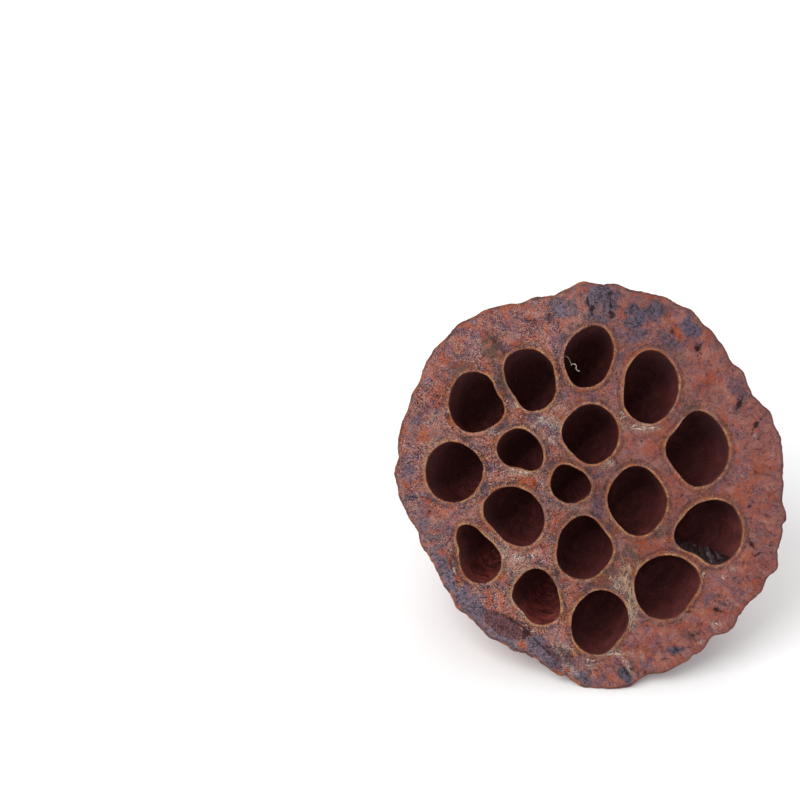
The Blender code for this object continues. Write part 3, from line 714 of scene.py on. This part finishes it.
def add_cell(build, number, cell, mouth):
    """The wall and floor of one seed cell, hung from the points round its mouth."""
    x, y, _, reaches = cell
    mean_reach = sum(reaches) / len(reaches)
    deep = min(1.0, CELL_DEPTH_PER_REACH * mean_reach / CELL_DEPTH)
    level = face_height(x, y)
    brightest = PAINTED_LIGHTING.get(number, PAINTED_LIGHTING_ELSEWHERE)
    above = mouth
    for full_depth in WALL_DEPTHS:
        depth = full_depth * deep
        bulge = smooth(0.3, 3.0, depth) * smooth(16.5 * deep, 12.0 * deep, depth)
        shift = depth / CELL_LEAN_POINT
        blend = smooth(0.0, 4.0, depth)
        ring = []
        for angle, edge in zip(turns(MOUTH_STEPS), mouth):
            reach = mouth_reach(cell, angle) * wall_scale(depth, deep)
            stripe_at = reached(12.0, angle, x, y)
            stripe = rough(*stripe_at, depth * 0.12, 2.2, 3)
            reach += bulge * (0.22 * stripe + 0.12 * rough(x + reach * cos(angle), y, depth, 3.5, 2))
            px, py = reached(reach, angle, x, y)
            pz = build.points[edge][2] * (1.0 - blend) + level * blend - depth
            band = (*reached(1.3, angle, x, y), 0.9 * depth + 0.3 * reach * cos(angle))
            # Painted light on the walls lying toward that direction, painted shade on those lying away from
            # it
            glow = brightest * (0.1 + 0.9 * smooth(-0.3, 0.8, cos(angle - PAINTED_LIGHTING_TURN)))
            masks = {"deep": depth / CELL_DEPTH, "glow": glow, "gap": depth, "inset": 12.0}
            place = (px - x * shift, py - y * shift, pz)
            ring.append(build.add(place, (*stripe_at, depth * 0.15), band, **masks))
        build.bridge(above, ring, 0 if full_depth < 0.2 else 1)
        above = ring
    shift = CELL_DEPTH * deep / CELL_LEAN_POINT
    floor_point = (x * (1.0 - shift), y * (1.0 - shift), level - CELL_DEPTH * deep)
    # The floor of the cell gets some painted light too
    build.fan(build.add(floor_point, (x, y, 3.0), deep=1.0, glow=0.4 * brightest), above, 1)


def add_side(build, rim):
    """The cone, hung from the points round the rim, closed by the neck's flat end."""
    above = rim
    for step_down in range(1, SIDE_STEPS + 1):
        share = step_down / SIDE_STEPS
        depth_share = 0.35 * share * share + 0.65 * share
        ring = []
        for angle, edge in zip(turns(RIM_STEPS), rim):
            place = side_point(angle, depth_share, build.points[edge][2])
            grain = (*reached(15.0, angle), depth_share * NECK_DEPTH * 0.05)
            ring.append(build.add(place, grain, deep=depth_share, gap=4.0))
        build.bridge(above, ring, 2)
        above = ring
    build.fan(build.add((*NECK_CENTRE, -NECK_DEPTH), (0.0, 0.0, 3.0), deep=1.0), above, 2)


def make_receptacle(*materials):
    build = Build(*MASKS)
    loops = add_face(build)
    for number, cell in enumerate(CELLS):
        add_cell(build, number, cell, loops[number])
    add_side(build, loops["rim"])
    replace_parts(build.finish("pod_receptacle", materials), "receptacle")


def stub_point(angle, along, radius):
    """A point of the stub's ribbed, fibrous side."""
    rib = rib_wave(angle, STUB_RIBS) * radius / STUB_RADIUS
    strand = rough(*reached(6.0, angle), along * 1.2, 0.5, 3)
    knob = rough(*reached(5.0, angle), along * STUB_LENGTH, 1.5, 3)
    off_ground = 1.0 - bell(turn_between(degrees(angle), 270.0), 30.0)
    pits = (0.55 * abs(knob) + 0.14 * abs(strand)) * off_ground
    collar = 0.3 * bell(along - 0.8 - 0.06 * sin(2.0 * angle), 0.05) * off_ground
    reach = radius + STUB_RIB_HEIGHT * rib
    reach += (0.08 * strand - 0.06 - pits - collar) * radius / STUB_RADIUS
    slant = STUB_CUT_SLANT * sin(angle + 0.6) * along
    ragged = 0.35 * sin(3 * angle + 1.2) * along ** 4
    ragged += 0.12 * rough(*reached(6.0, angle), 4.0, 0.8, 3) * along ** 6
    x, y = reached(reach, angle, *NECK_CENTRE)
    return x, y, -(NECK_DEPTH + STUB_GAP + STUB_LENGTH * along + slant + ragged)


def end_point(angle, share):
    """A point of the stub's dished, porous cut end."""
    x, y, z = stub_point(angle, 1.0, STUB_RADIUS)
    cx, cy = NECK_CENTRE
    px, py = cx + (x - cx) * share, cy + (y - cy) * share
    level = -NECK_DEPTH - STUB_GAP - STUB_LENGTH
    pz = level + (z - level) * share + STUB_PITH_DEPTH * smooth(1.0, 0.55, share)
    pz += 0.12 * rough(px, py, 2.0, 0.7, 3) * smooth(1.0, 0.9, share)
    for middle, turn, reach in STUB_CHANNELS:
        hx, hy = reached(middle * STUB_RADIUS, radians(turn), cx, cy)
        pz += CHANNEL_DEPTH * smooth(1.15 * reach, 0.7 * reach, hypot(px - hx, py - hy))
    return px, py, pz


def make_stub(material):
    build = Build("end", "deep")
    middle = build.add((*NECK_CENTRE, -NECK_DEPTH - STUB_GAP), (0.0, 0.0, 0.0))
    above = None
    for number in range(STUB_RINGS + 1):
        along = number / STUB_RINGS
        radius = STUB_RADIUS + STUB_FLARE * exp(-along / 0.11) - STUB_WAIST * sin(pi * along)
        ring = []
        for angle in turns(STUB_STEPS):
            place = stub_point(angle, along, radius)
            ring.append(build.add(place, (*reached(6.0, angle), along), deep=along))
        if above is None:
            build.fan(middle, ring, flipped=True)
        else:
            build.bridge(above, ring)
        above = ring
    for number in range(1, STUB_END_RINGS):
        share = 1.0 - number / STUB_END_RINGS
        ring = []
        for angle in turns(STUB_STEPS):
            x, y, z = end_point(angle, share)
            ring.append(build.add((x, y, z), (x * 2.0, y * 2.0, 5.0), deep=1.0, end=smooth(1.0, 0.9, share)))
        build.bridge(above, ring)
        above = ring
    build.fan(build.add(end_point(0.0, 0.0), (0.0, 0.0, 5.0), deep=1.0, end=1.0), above)
    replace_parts(build.finish("pod_stem_stub", [material], "dry_stem"), "stem_stub")


def add_tube(build, path, radius, sides, tone):
    """A thin closed tube along a path, finer at both ends."""
    rings = []
    last = len(path) - 1
    for k, point in enumerate(path):
        ahead = path[min(k + 1, last)] - path[max(k - 1, 0)]
        across = ahead.cross(Vector((0.31, 0.52, 0.79))).normalized()
        up = ahead.cross(across).normalized()
        thick = radius * (0.4 if k in (0, last) else 1.0)
        ring = []
        for turn in turns(sides):
            place = tuple(point + thick * (cos(-turn) * across + sin(-turn) * up))
            ring.append(build.add(place, place, tone=tone))
        rings.append(ring)
    for above, below in zip(rings, rings[1:]):
        build.bridge(above, below)
    build.face(tuple(rings[0]))
    build.face(tuple(reversed(rings[-1])))


def lint_path(x, y, heading, length, lift, draw):
    """A fibre that wanders along the face, rises a little off it and stops before a mouth."""
    steps = max(3, round(length / LINT_STEP))
    bend = draw.uniform(-0.22, 0.22)
    points = []
    for step in range(steps + 1):
        (_, _, level), _, gap, _, _ = face_point(x, y)
        if gap < LINT_CLEAR:
            break
        points.append(Vector((x, y, level + LINT_RADIUS + lift * sin(pi * step / steps))))
        heading += bend * draw.uniform(0.2, 1.8)
        x, y = reached(length / steps, heading, x, y)
    return points


def make_lint(material):
    """Pale lint and matted fibres on the webs."""
    build = Build("tone")
    draw = random.Random(SEED)
    for x, y, across, up, heading, spread, count, length, tone in LINT_CLUMPS:
        for _ in range(count):
            turn = radians(heading + draw.uniform(-spread, spread))
            start = (x + draw.gauss(0.0, 0.5) * across, y + draw.gauss(0.0, 0.5) * up)
            far = length * draw.uniform(0.6, 1.4)
            path = lint_path(*start, turn, far, draw.uniform(0.03, 0.2), draw)
            thick, shade = draw.uniform(0.6, 1.4), draw.uniform(-0.25, 0.35)
            if len(path) > 2:
                add_tube(build, path, LINT_RADIUS * thick, 4, tone + shade)
    build.finish("pod_lint", [material])


def make_neck_fuzz(material):
    """Short rusty fibres where the cone meets the stem."""
    build = Build("tone")
    draw = random.Random(SEED + 1)
    low, high = FUZZ_BAND
    for _ in range(FUZZ_COUNT):
        angle = draw.uniform(0.0, tau)
        start = high - (high - low) * draw.random() ** 1.6
        turn, slide = draw.uniform(-0.12, 0.12), draw.uniform(-0.02, 0.012)
        lift = draw.uniform(0.1, 0.4)
        path = []
        for share in (0.0, 0.35, 0.7, 1.0):
            at = angle + turn * share
            x, y, z = side_point(at, min(0.999, start + slide * share), 0.0)
            path.append(Vector((*reached(LINT_RADIUS * 0.5 + lift * share ** 0.7, at, x, y), z)))
        add_tube(build, path, LINT_RADIUS * draw.uniform(0.7, 1.3), 3, draw.uniform(0.55, 1.1))
    build.finish("pod_neck_fuzz", [material])


def make_shred(material):
    """A pale curled shred that hangs from the wall of one cell."""
    build = Build("tone")
    level = face_height(*CELLS[SHRED_CELL][:2])
    for line, radius in ((SHRED_THREAD, THREAD_RADIUS), (SHRED_CURL, CURL_RADIUS)):
        stops = [Vector((x, y, level - depth)) for x, y, depth in line]
        last = len(stops) - 1
        path = []
        for k in range(SHRED_STEPS * last + 1):
            first = min(k // SHRED_STEPS, last - 1)
            ends = stops[max(0, first - 1)], stops[first], stops[first + 1], stops[min(last, first + 2)]
            path.append(spline(*ends, k / SHRED_STEPS - first))
        add_tube(build, path, radius, 6, 0.0)
    build.finish("pod_shred", [material])


def make_film(material):
    """The dark, glossy, wrinkled skin left across the lower edge of one cell."""
    build = Build()
    cell = CELLS[FILM_CELL]
    level = face_height(*cell[:2])
    around, inward = FILM_STEPS
    layers = []
    for below in (0.0, FILM_THICKNESS):
        rows = []
        for step in range(around + 1):
            share = step / around
            angle = radians(FILM_TURN[0] + (FILM_TURN[1] - FILM_TURN[0]) * share)
            wide = FILM_REACH * sin(pi * share) ** 0.7 * (1.0 + 0.25 * sin(9.0 * share + 1.0))
            row = []
            for k in range(inward + 1):
                into = k / inward
                x, y = reached(mouth_reach(cell, angle) * (0.97 - wide * into), angle, *cell[:2])
                wrinkle = 0.3 * sin(31.0 * share + 2.0 * into) + 0.25 * rough(x, y, 90.0, 2.0, 2)
                depth = 0.5 + FILM_DROP * into ** 0.8 + wrinkle * smooth(0.0, 0.35, into)
                row.append(build.add((x, y, level - depth - below), (angle * 6.0, into, 0.0)))
            rows.append(row)
        layers.append(rows)
    top, bottom = layers
    for step in range(around):
        for k in range(inward):
            ring = [(step, k), (step, k + 1), (step + 1, k + 1), (step + 1, k)]
            build.face(tuple(bottom[a][b] for a, b in ring))
            build.face(tuple(top[a][b] for a, b in reversed(ring)))
    border = [(step, 0) for step in range(around)] + [(around, k) for k in range(inward)]
    border += [(step, inward) for step in range(around, 0, -1)] + [(0, k) for k in range(inward, 0, -1)]
    for (a, b), (c, d) in zip(border, border[1:] + border[:1]):
        build.face((top[a][b], bottom[a][b], bottom[c][d], top[c][d]))
    build.finish("pod_cell_film", [material])


def linear(value):
    """A colour value as it shows on a screen, from 0 to 255, as the linear value that a shader takes."""
    value /= 255.0
    return value / 12.92 if value <= 0.04045 else ((value + 0.055) / 1.055) ** 2.4


class Nodes:
    """Short calls for building one material's nodes. Three numbers in a row are a colour on a screen."""

    def __init__(self, name):
        self.material = bpy.data.materials.new(name)
        self.material.use_nodes = True
        self.tree = self.material.node_tree
        self.shader = self.tree.nodes["Principled BSDF"]

    def put(self, socket, value):
        if isinstance(value, bpy.types.NodeSocket):
            self.tree.links.new(value, socket)
        elif isinstance(value, tuple):
            socket.default_value = (*map(linear, value), 1.0)
        else:
            socket.default_value = value

    def node(self, kind, inputs, **settings):
        """Adds a node with its settings and inputs, and gives its outputs."""
        node = self.tree.nodes.new(kind)
        for key, value in settings.items():
            setattr(node, key, value)
        for key, value in inputs.items():
            self.put(node.inputs[key], value)
        return node.outputs

    def mask(self, name):
        return self.node("ShaderNodeAttribute", {}, attribute_name=name)["Fac"]

    def vector(self, name):
        return self.node("ShaderNodeAttribute", {}, attribute_name=name)["Vector"]

    def axis(self, vector, name):
        return self.node("ShaderNodeSeparateXYZ", {0: vector})[name]

    def texture(self, vector, scale, detail, roughness, distortion=0.0):
        inputs = {"Vector": vector, "Scale": scale, "Detail": detail, "Roughness": roughness}
        return self.node("ShaderNodeTexNoise", {**inputs, "Distortion": distortion})

    def noise(self, *values):
        return self.texture(*values)["Fac"]

    def noises(self, *values):
        """Three noises of the same grain that don't follow one another."""
        return self.node("ShaderNodeSeparateColor", {0: self.texture(*values)["Color"]})[:3]

    def cells(self, vector, scale):
        return self.node("ShaderNodeTexVoronoi", {"Vector": vector, "Scale": scale})["Distance"]

    def ramp(self, value, low, high):
        """0 below low, 1 above high, or the other way round when low is above high."""
        inputs = {"Value": value, "From Min": min(low, high), "From Max": max(low, high)}
        inputs.update({"To Min": float(low > high), "To Max": float(low < high)})
        return self.node("ShaderNodeMapRange", inputs, interpolation_type="SMOOTHSTEP")["Result"]

    def times(self, a, b):
        return self.node("ShaderNodeMath", {0: a, 1: b}, operation="MULTIPLY")[0]

    def plus(self, a, b, weight=None):
        """The sum of two values, the second one by its weight."""
        if weight is not None:
            b = self.times(b, weight)
        return self.node("ShaderNodeMath", {0: a, 1: b}, operation="ADD")[0]

    def frayed(self, value, noise, size):
        """A value made uneven by a noise about a half."""
        return self.plus(value, self.plus(noise, -0.5), size)

    def mix(self, share, a, b, **settings):
        return self.node("ShaderNodeMix", {"Factor": share, 6: a, 7: b}, data_type="RGBA", **settings)[2]

    def paint(self, base, *layers):
        """Lays tones over a base: tone, share, and the value that shows it by passing from low to high."""
        for tone, share, *band in layers:
            base = self.mix(self.times(self.ramp(*band), share), base, tone)
        return base

    def stretch(self, share, mean, tone):
        """A tone moved away from the mean, for a share above 1, so that its contrast grows."""
        return self.mix(share, mean, tone, clamp_factor=False, clamp_result=True)

    def finish(self, base, roughness, specular, relief=None, strength=1.0, distance=0.0):
        """Sets the shader's colour, roughness, gloss and relief, and gives the material."""
        values = {"Base Color": base, "Roughness": roughness, "Specular IOR Level": specular}
        if relief is not None:
            bump = {"Strength": strength, "Distance": distance, "Height": relief}
            values["Normal"] = self.node("ShaderNodeBump", bump)["Normal"]
        for name, value in values.items():
            self.put(self.shader.inputs[name], value)
        return self.material


def face_material():
    n = Nodes("pod_face_skin")
    skin, grain, ring = n.vector("skin"), n.vector("grain"), n.vector("ring")
    gap, inset, high, red = n.mask("gap"), n.mask("inset"), n.mask("relief"), n.mask("red")
    broad = n.noise(skin, 0.14, 4.0, 0.6)
    patch_a, patch_b, patch_c = n.noises(skin, 0.42, 4.0, 0.62)
    fleck_a, fleck_b, fleck_c = n.noises(skin, 1.2, 4.0, 0.7)
    speck_a, speck_b, speck_c = n.noises(skin, 3.0, 2.0, 0.7)
    blotch_a, blotch_b, blotch_c = n.noises(skin, 0.3, 4.0, 0.62)
    streak_a, streak_b, _ = n.noises(grain, 0.9, 4.0, 0.65)
    fibre_a, fibre_b, _ = n.noises(ring, 1.5, 3.0, 0.6)
    smear = n.noise(grain, 0.5, 3.0, 0.6, 0.5)
    smudge = n.noise(skin, 0.6, 3.0, 0.6, 0.9)
    rightward = n.ramp(n.axis(skin, "X"), 8.0, 38.0)
    leftward = n.ramp(n.axis(skin, "X"), 12.0, -14.0)
    downward = n.ramp(n.axis(skin, "Y"), -4.0, -26.0)
    margin, web = n.ramp(inset, 9.0, 2.5), n.ramp(gap, 3.2, 1.2)
    violet_share = n.plus(0.8, rightward, -0.35)
    root_share = n.times(n.ramp(n.plus(gap, fleck_a, 1.2), 2.4, 1.2), 0.8)
    fine = n.plus(0.18, leftward, 0.18)
    base = n.mix(n.ramp(broad, 0.42, 0.58), ROSE, BRICK)
    base = n.paint(
        n.mix(n.times(rightward, 0.5), base, (156, 100, 98)),
        (MAUVE, violet_share, patch_a, 0.48, 0.58),
        ((170, 100, 78), 0.6, patch_b, 0.52, 0.62),
        (RUST, red, patch_a, 0.70, 0.40),
        (UMBER, n.times(margin, 0.42), streak_a, 0.50, 0.64),
        (PALE, n.times(margin, 0.4), streak_b, 0.54, 0.66),
        (LIP_ROOT, root_share, broad, 0.36, 0.58),
        (UMBER, n.times(web, 0.55), fibre_a, 0.50, 0.60),
        ((176, 126, 98), n.times(web, 0.35), fibre_b, 0.52, 0.62),
        ((160, 88, 66), 0.45, fleck_a, 0.52, 0.62),
        (MAUVE, 0.45, fleck_b, 0.52, 0.62),
        (UMBER, 0.5, fleck_c, 0.54, 0.66),
        ((190, 106, 78), fine, speck_a, 0.52, 0.62),
        ((78, 68, 84), fine, speck_b, 0.52, 0.62),
        ((204, 174, 160), fine, speck_c, 0.55, 0.64),
        ((48, 28, 30), n.plus(0.3, leftward, 0.5), speck_c, 0.45, 0.37),
        ((206, 176, 164), n.times(leftward, 0.48), speck_b, 0.44, 0.36),
        ((116, 84, 98), n.times(violet_share, 0.6), blotch_a, 0.50, 0.60),
        ((178, 124, 112), 0.42, blotch_b, 0.52, 0.62),
        ((166, 82, 58), 0.5, blotch_c, 0.54, 0.62),
        ((176, 104, 86), 0.4, smear, 0.54, 0.64),
        ((80, 54, 60), 0.6, smudge, 0.58, 0.70),
    )
    base = n.stretch(n.plus(n.plus(1.2, leftward, 0.6), downward, 0.2), (138, 91, 87), base)
    pale_share = n.plus(0.1, leftward, 0.45)
    slate = n.paint(
        n.mix(n.times(leftward, n.plus(0.3, downward, 0.5)), SLATE, (112, 102, 124)),
        ((150, 136, 148), pale_share, smear, 0.46, 0.56),
        ((128, 92, 100), 0.3, patch_c, 0.50, 0.58),
        (NIGHT, 0.95, fleck_c, 0.46, 0.56),
        ((158, 138, 146), n.plus(0.2, pale_share), speck_a, 0.50, 0.60),
    )
    olive = n.mix(n.ramp(speck_b, 0.46, 0.56), (60, 52, 52), (118, 96, 80))
    hollow = n.mix(n.ramp(fleck_b, 0.42, 0.58), (58, 38, 48), (112, 74, 78))
    hollow = n.paint(hollow, ((168, 122, 122), 0.6, speck_a, 0.50, 0.60))
    lip = n.mix(n.ramp(patch_a, 0.44, 0.56), TAN, (190, 112, 74))
    lip = n.paint(lip, ((120, 82, 68), 0.45, speck_b, 0.48, 0.60))
    lip_share = n.plus(0.24, n.ramp(n.noise(skin, 0.24, 4.0, 0.65), 0.40, 0.58), 0.68)
    rim = n.mix(n.ramp(patch_c, 0.44, 0.58), (96, 52, 46), (184, 102, 64))
    rim = n.mix(n.times(rightward, 0.85), rim, BLOOD)
    moat = n.times(n.times(n.ramp(gap, 0.6, 1.0), n.ramp(gap, 1.7, 1.2)), 0.5)
    pore = n.times(n.ramp(n.cells(skin, 0.8), 0.26, 0.14), n.ramp(patch_c, 0.54, 0.62))
    base = n.paint(
        base,
        ((168, 80, 54), n.times(red, 0.5), n.plus(blotch_a, fleck_b), 1.12, 0.92),
        (CREAM, n.times(n.ramp(blotch_b, 0.46, 0.56), 0.6), n.cells(skin, 0.5), 0.1, 0.06),
        (slate, 0.94, n.frayed(n.mask("violet"), fleck_b, 1.2), 0.16, 0.78),
        (olive, n.mask("olive"), fleck_c, 0.38, 0.50),
        (hollow, 0.9, n.mask("oval"), 0.25, 0.6),
        # Painted shade in the low places of the relief, painted highlight on its high places
        ((72, 44, 46), 0.4, high, -0.12, -0.5),
        ((190, 122, 100), 0.3, high, 0.10, 0.34),
        (UMBER, moat, fleck_a, 0.42, 0.56),
        (lip, lip_share, n.frayed(gap, fleck_b, 0.9), 0.58, 0.22),
        (rim, 0.8, n.frayed(inset, fleck_c, 1.6), 0.8, 0.25),
        # Painted shade in the dents and creases
        (PAINTED_SHADE, 0.82, n.frayed(n.frayed(n.mask("dark"), speck_c, 0.8), fleck_c, 0.8), 0.28, 0.62),
    )
    # Painted shade in the pores
    base = n.mix(n.times(pore, 0.7), base, PAINTED_SHADE)
    lint_share = n.times(n.mask("lint"), n.plus(0.55, downward, 0.2))
    base = n.paint(base, (CREAM, lint_share, speck_a, 0.46, 0.54))
    relief = n.times(fleck_c, -1.0)
    bumps = (streak_a, -0.8), (speck_c, 0.3), (pore, -0.3), (patch_c, 0.8), (smudge, -1.6)
    for value, weight in (*bumps, (n.times(web, fibre_a), -0.6)):
        relief = n.plus(relief, value, weight)
    return n.finish(base, n.plus(0.5, fleck_a, 0.4), 0.2, relief, 1.0, 0.0015)


def cell_material():
    n = Nodes("pod_cell_lining")
    skin, grain, ring = n.vector("skin"), n.vector("grain"), n.vector("ring")
    glow, deep = n.mask("glow"), n.mask("deep")
    stripe = n.noise(grain, 1.3, 4.0, 0.65)
    band = n.noise(ring, 1.6, 4.0, 0.65, 0.4)
    patch = n.noise(skin, 0.3, 3.0, 0.5)
    speck = n.noise(skin, 2.6, 2.0, 0.6)
    base = n.paint(
        n.mix(n.ramp(patch, 0.35, 0.65), (76, 36, 39), (98, 46, 48)),
        # Painted light: brighter red bands, and more dark stripes, on the walls with the most painted light
        ((182, 84, 72), glow, band, 0.46, 0.58),
        ((58, 27, 29), n.plus(0.25, n.ramp(glow, 0.15, 0.5), 0.45), band, 0.48, 0.38),
        ((66, 32, 34), 0.5, stripe, 0.47, 0.34),
        ((110, 64, 62), 0.6, deep, 0.3, 0.95),
        # Painted shade on the walls with the least painted light
        ((44, 23, 25), 0.5, glow, 0.16, 0.03),
        ((150, 108, 96), 0.35, speck, 0.6, 0.7),
        (LIP_ROOT, 0.8, n.mask("gap"), 0.45, 0.15),
    )
    relief = n.plus(n.plus(stripe, band), speck, 0.3)
    return n.finish(base, 0.42, n.times(n.ramp(deep, 0.8, 0.3), 0.5), relief, 0.8, 0.0006)


def cone_material():
    n = Nodes("pod_cone_skin")
    skin, grain, deep = n.vector("skin"), n.vector("grain"), n.mask("deep")
    streak = n.noise(grain, 0.55, 5.0, 0.62, 0.3)
    fine_a, fine_b, fine_c = n.noises(grain, 2.6, 4.0, 0.65)
    broad = n.noise(skin, 0.035, 4.0, 0.6)
    tone = n.noise(skin, 0.045, 3.0, 0.55, 0.5)
    fleck_a, fleck_b, _ = n.noises(skin, 1.5, 4.0, 0.7)
    red_share = n.times(n.ramp(n.plus(deep, fine_b, 0.16), 0.90, 1.02), 0.75)
    neck = n.mix(n.ramp(fleck_b, 0.44, 0.56), (64, 40, 30), (136, 88, 56))
    base = n.paint(
        n.mix(n.ramp(streak, 0.36, 0.6), (112, 74, 84), (152, 108, 108)),
        ((160, 94, 68), 0.75, n.plus(broad, n.axis(skin, "X"), -0.0022), 0.49, 0.60),
        ((88, 66, 86), 0.5, tone, 0.50, 0.38),
        ((184, 150, 136), 0.6, fine_a, 0.53, 0.66),
        ((104, 48, 50), 0.75, fine_b, 0.50, 0.62),
        ((108, 82, 108), 0.45, fine_c, 0.54, 0.66),
        ((84, 46, 44), 0.35, fleck_a, 0.52, 0.66),
        ((190, 156, 146), 0.3, fleck_b, 0.54, 0.68),
        ((186, 154, 130), n.times(n.ramp(deep, 0.22, 0.03), 0.5), streak, 0.48, 0.60),
        ((126, 50, 40), red_share, streak, 0.30, 0.5),
        (neck, 0.9, n.plus(deep, fleck_a, 0.08), 0.965, 1.03),
        ((104, 58, 52), 0.7, deep, 0.05, 0.0),
    )
    relief = n.plus(n.plus(fine_a, fine_b, -1.0), fleck_a, -0.4)
    return n.finish(base, n.plus(0.5, fine_a, 0.3), 0.35, relief, 0.9, 0.0005)


def stem_material():
    n = Nodes("pod_dry_stem")
    skin = n.vector("skin")
    strand = n.noise(n.vector("grain"), 1.6, 4.0, 0.65)
    fleck = n.noise(skin, 1.8, 3.0, 0.6)
    base = n.paint(
        n.mix(n.ramp(strand, 0.38, 0.56), (88, 66, 54), (176, 144, 116)),
        ((146, 100, 76), 0.6, n.noise(skin, 0.8, 4.0, 0.65), 0.47, 0.57),
        ((74, 50, 40), 0.55, fleck, 0.52, 0.64),
        ((104, 68, 44), 0.75, n.mask("deep"), 0.12, 0.0),
    )
    end = n.mix(n.ramp(fleck, 0.4, 0.6), (160, 134, 106), (84, 62, 48))
    base = n.mix(n.mask("end"), base, end)
    return n.finish(base, 0.82, 0.3, n.plus(strand, fleck, 0.5), 1.0, 0.0005)


def lint_material():
    """From pale lint, where the tone is 0, to rusty brown fibre, where it is 1."""
    n = Nodes("pod_fibre")
    fleck, tone = n.noise(n.vector("skin"), 1.6, 3.0, 0.6), n.mask("tone")
    base = n.mix(n.ramp(fleck, 0.4, 0.6), (222, 212, 200), (186, 164, 146))
    base = n.mix(n.ramp(tone, 0.1, 0.6), base, (188, 152, 122))
    base = n.mix(n.ramp(tone, 0.55, 1.0), base, (88, 54, 38))
    return n.finish(base, 0.7, 0.3)


def film_material():
    n = Nodes("pod_torn_film")
    crease_and_highlight = n.noise(n.vector("grain"), 3.2, 2.0, 0.6)
    base = n.mix(n.ramp(n.noise(n.vector("skin"), 0.7, 3.0, 0.6), 0.4, 0.6), (40, 22, 25), (24, 15, 18))
    # Painted highlights: pale glossy streaks along the creases
    base = n.paint(base, ((122, 96, 92), 0.6, crease_and_highlight, 0.58, 0.68))
    return n.finish(base, 0.34, 0.3, crease_and_highlight, 0.5, 0.0003)


def make_floor():
    """A wide pale floor."""
    mesh = bpy.data.meshes.new("floor")
    corners = [(x * FLOOR_HALF, y * FLOOR_HALF, 0) for x, y in ((-1, -1), (1, -1), (1, 1), (-1, 1))]
    mesh.from_pydata(corners, [], [(0, 1, 2, 3)])
    n = Nodes("pale_floor")
    n.shader.inputs["Base Color"].default_value = (0.92, 0.92, 0.92, 1.0)
    n.shader.inputs["Roughness"].default_value = 0.9
    n.shader.inputs["Specular IOR Level"].default_value = 0.1
    mesh.materials.append(n.material)
    put_in_scene("floor", mesh)


def make_light(name, direction, distance, size, power):
    """A soft square light."""
    lamp = bpy.data.lights.new(name, "AREA")
    lamp.size = size
    lamp.energy = power
    light = put_in_scene(name, lamp)
    toward = Vector(direction).normalized()
    light.location = toward * distance + Vector(LIGHT_AIM)
    light.rotation_euler = toward.to_track_quat("Z", "Y").to_euler()


def make_world():
    world = bpy.data.worlds.new("studio")
    world.use_nodes = True
    back = world.node_tree.nodes["Background"]
    back.inputs["Color"].default_value = (1.0, 1.0, 1.0, 1.0)
    back.inputs["Strength"].default_value = SKY_STRENGTH
    bpy.context.scene.world = world


def make_camera():
    """Looks square at the seed face, so that the photo's scale holds all over it."""
    half = FRAME_PIXELS / 2
    aim = Vector(((half - FACE_PIXEL[0]) * PIXEL_MM, (FACE_PIXEL[1] - half) * PIXEL_MM, 0.0))
    camera = bpy.data.cameras.new("camera")
    camera.sensor_width = SENSOR_WIDTH
    camera.lens = SENSOR_WIDTH * CAMERA_DISTANCE / (FRAME_PIXELS * PIXEL_MM)
    camera.clip_start = 0.01
    eye = put_in_scene("camera", camera)
    out = POD.to_3x3().normalized() @ Vector((0.0, 0.0, 1.0))
    eye.location = POD @ aim + out * CAMERA_DISTANCE * MM
    eye.rotation_euler = out.to_track_quat("Z", "Y").to_euler()
    bpy.context.scene.camera = eye


make_floor()
make_world()
for light_values in LIGHTS:
    make_light(*light_values)
make_camera()
make_receptacle(face_material(), cell_material(), cone_material())
make_stub(stem_material())
fibre_skin = lint_material()
make_lint(fibre_skin)
make_neck_fuzz(fibre_skin)
make_shred(fibre_skin)
make_film(film_material())

bpy.context.scene.view_settings.view_transform = "Standard"
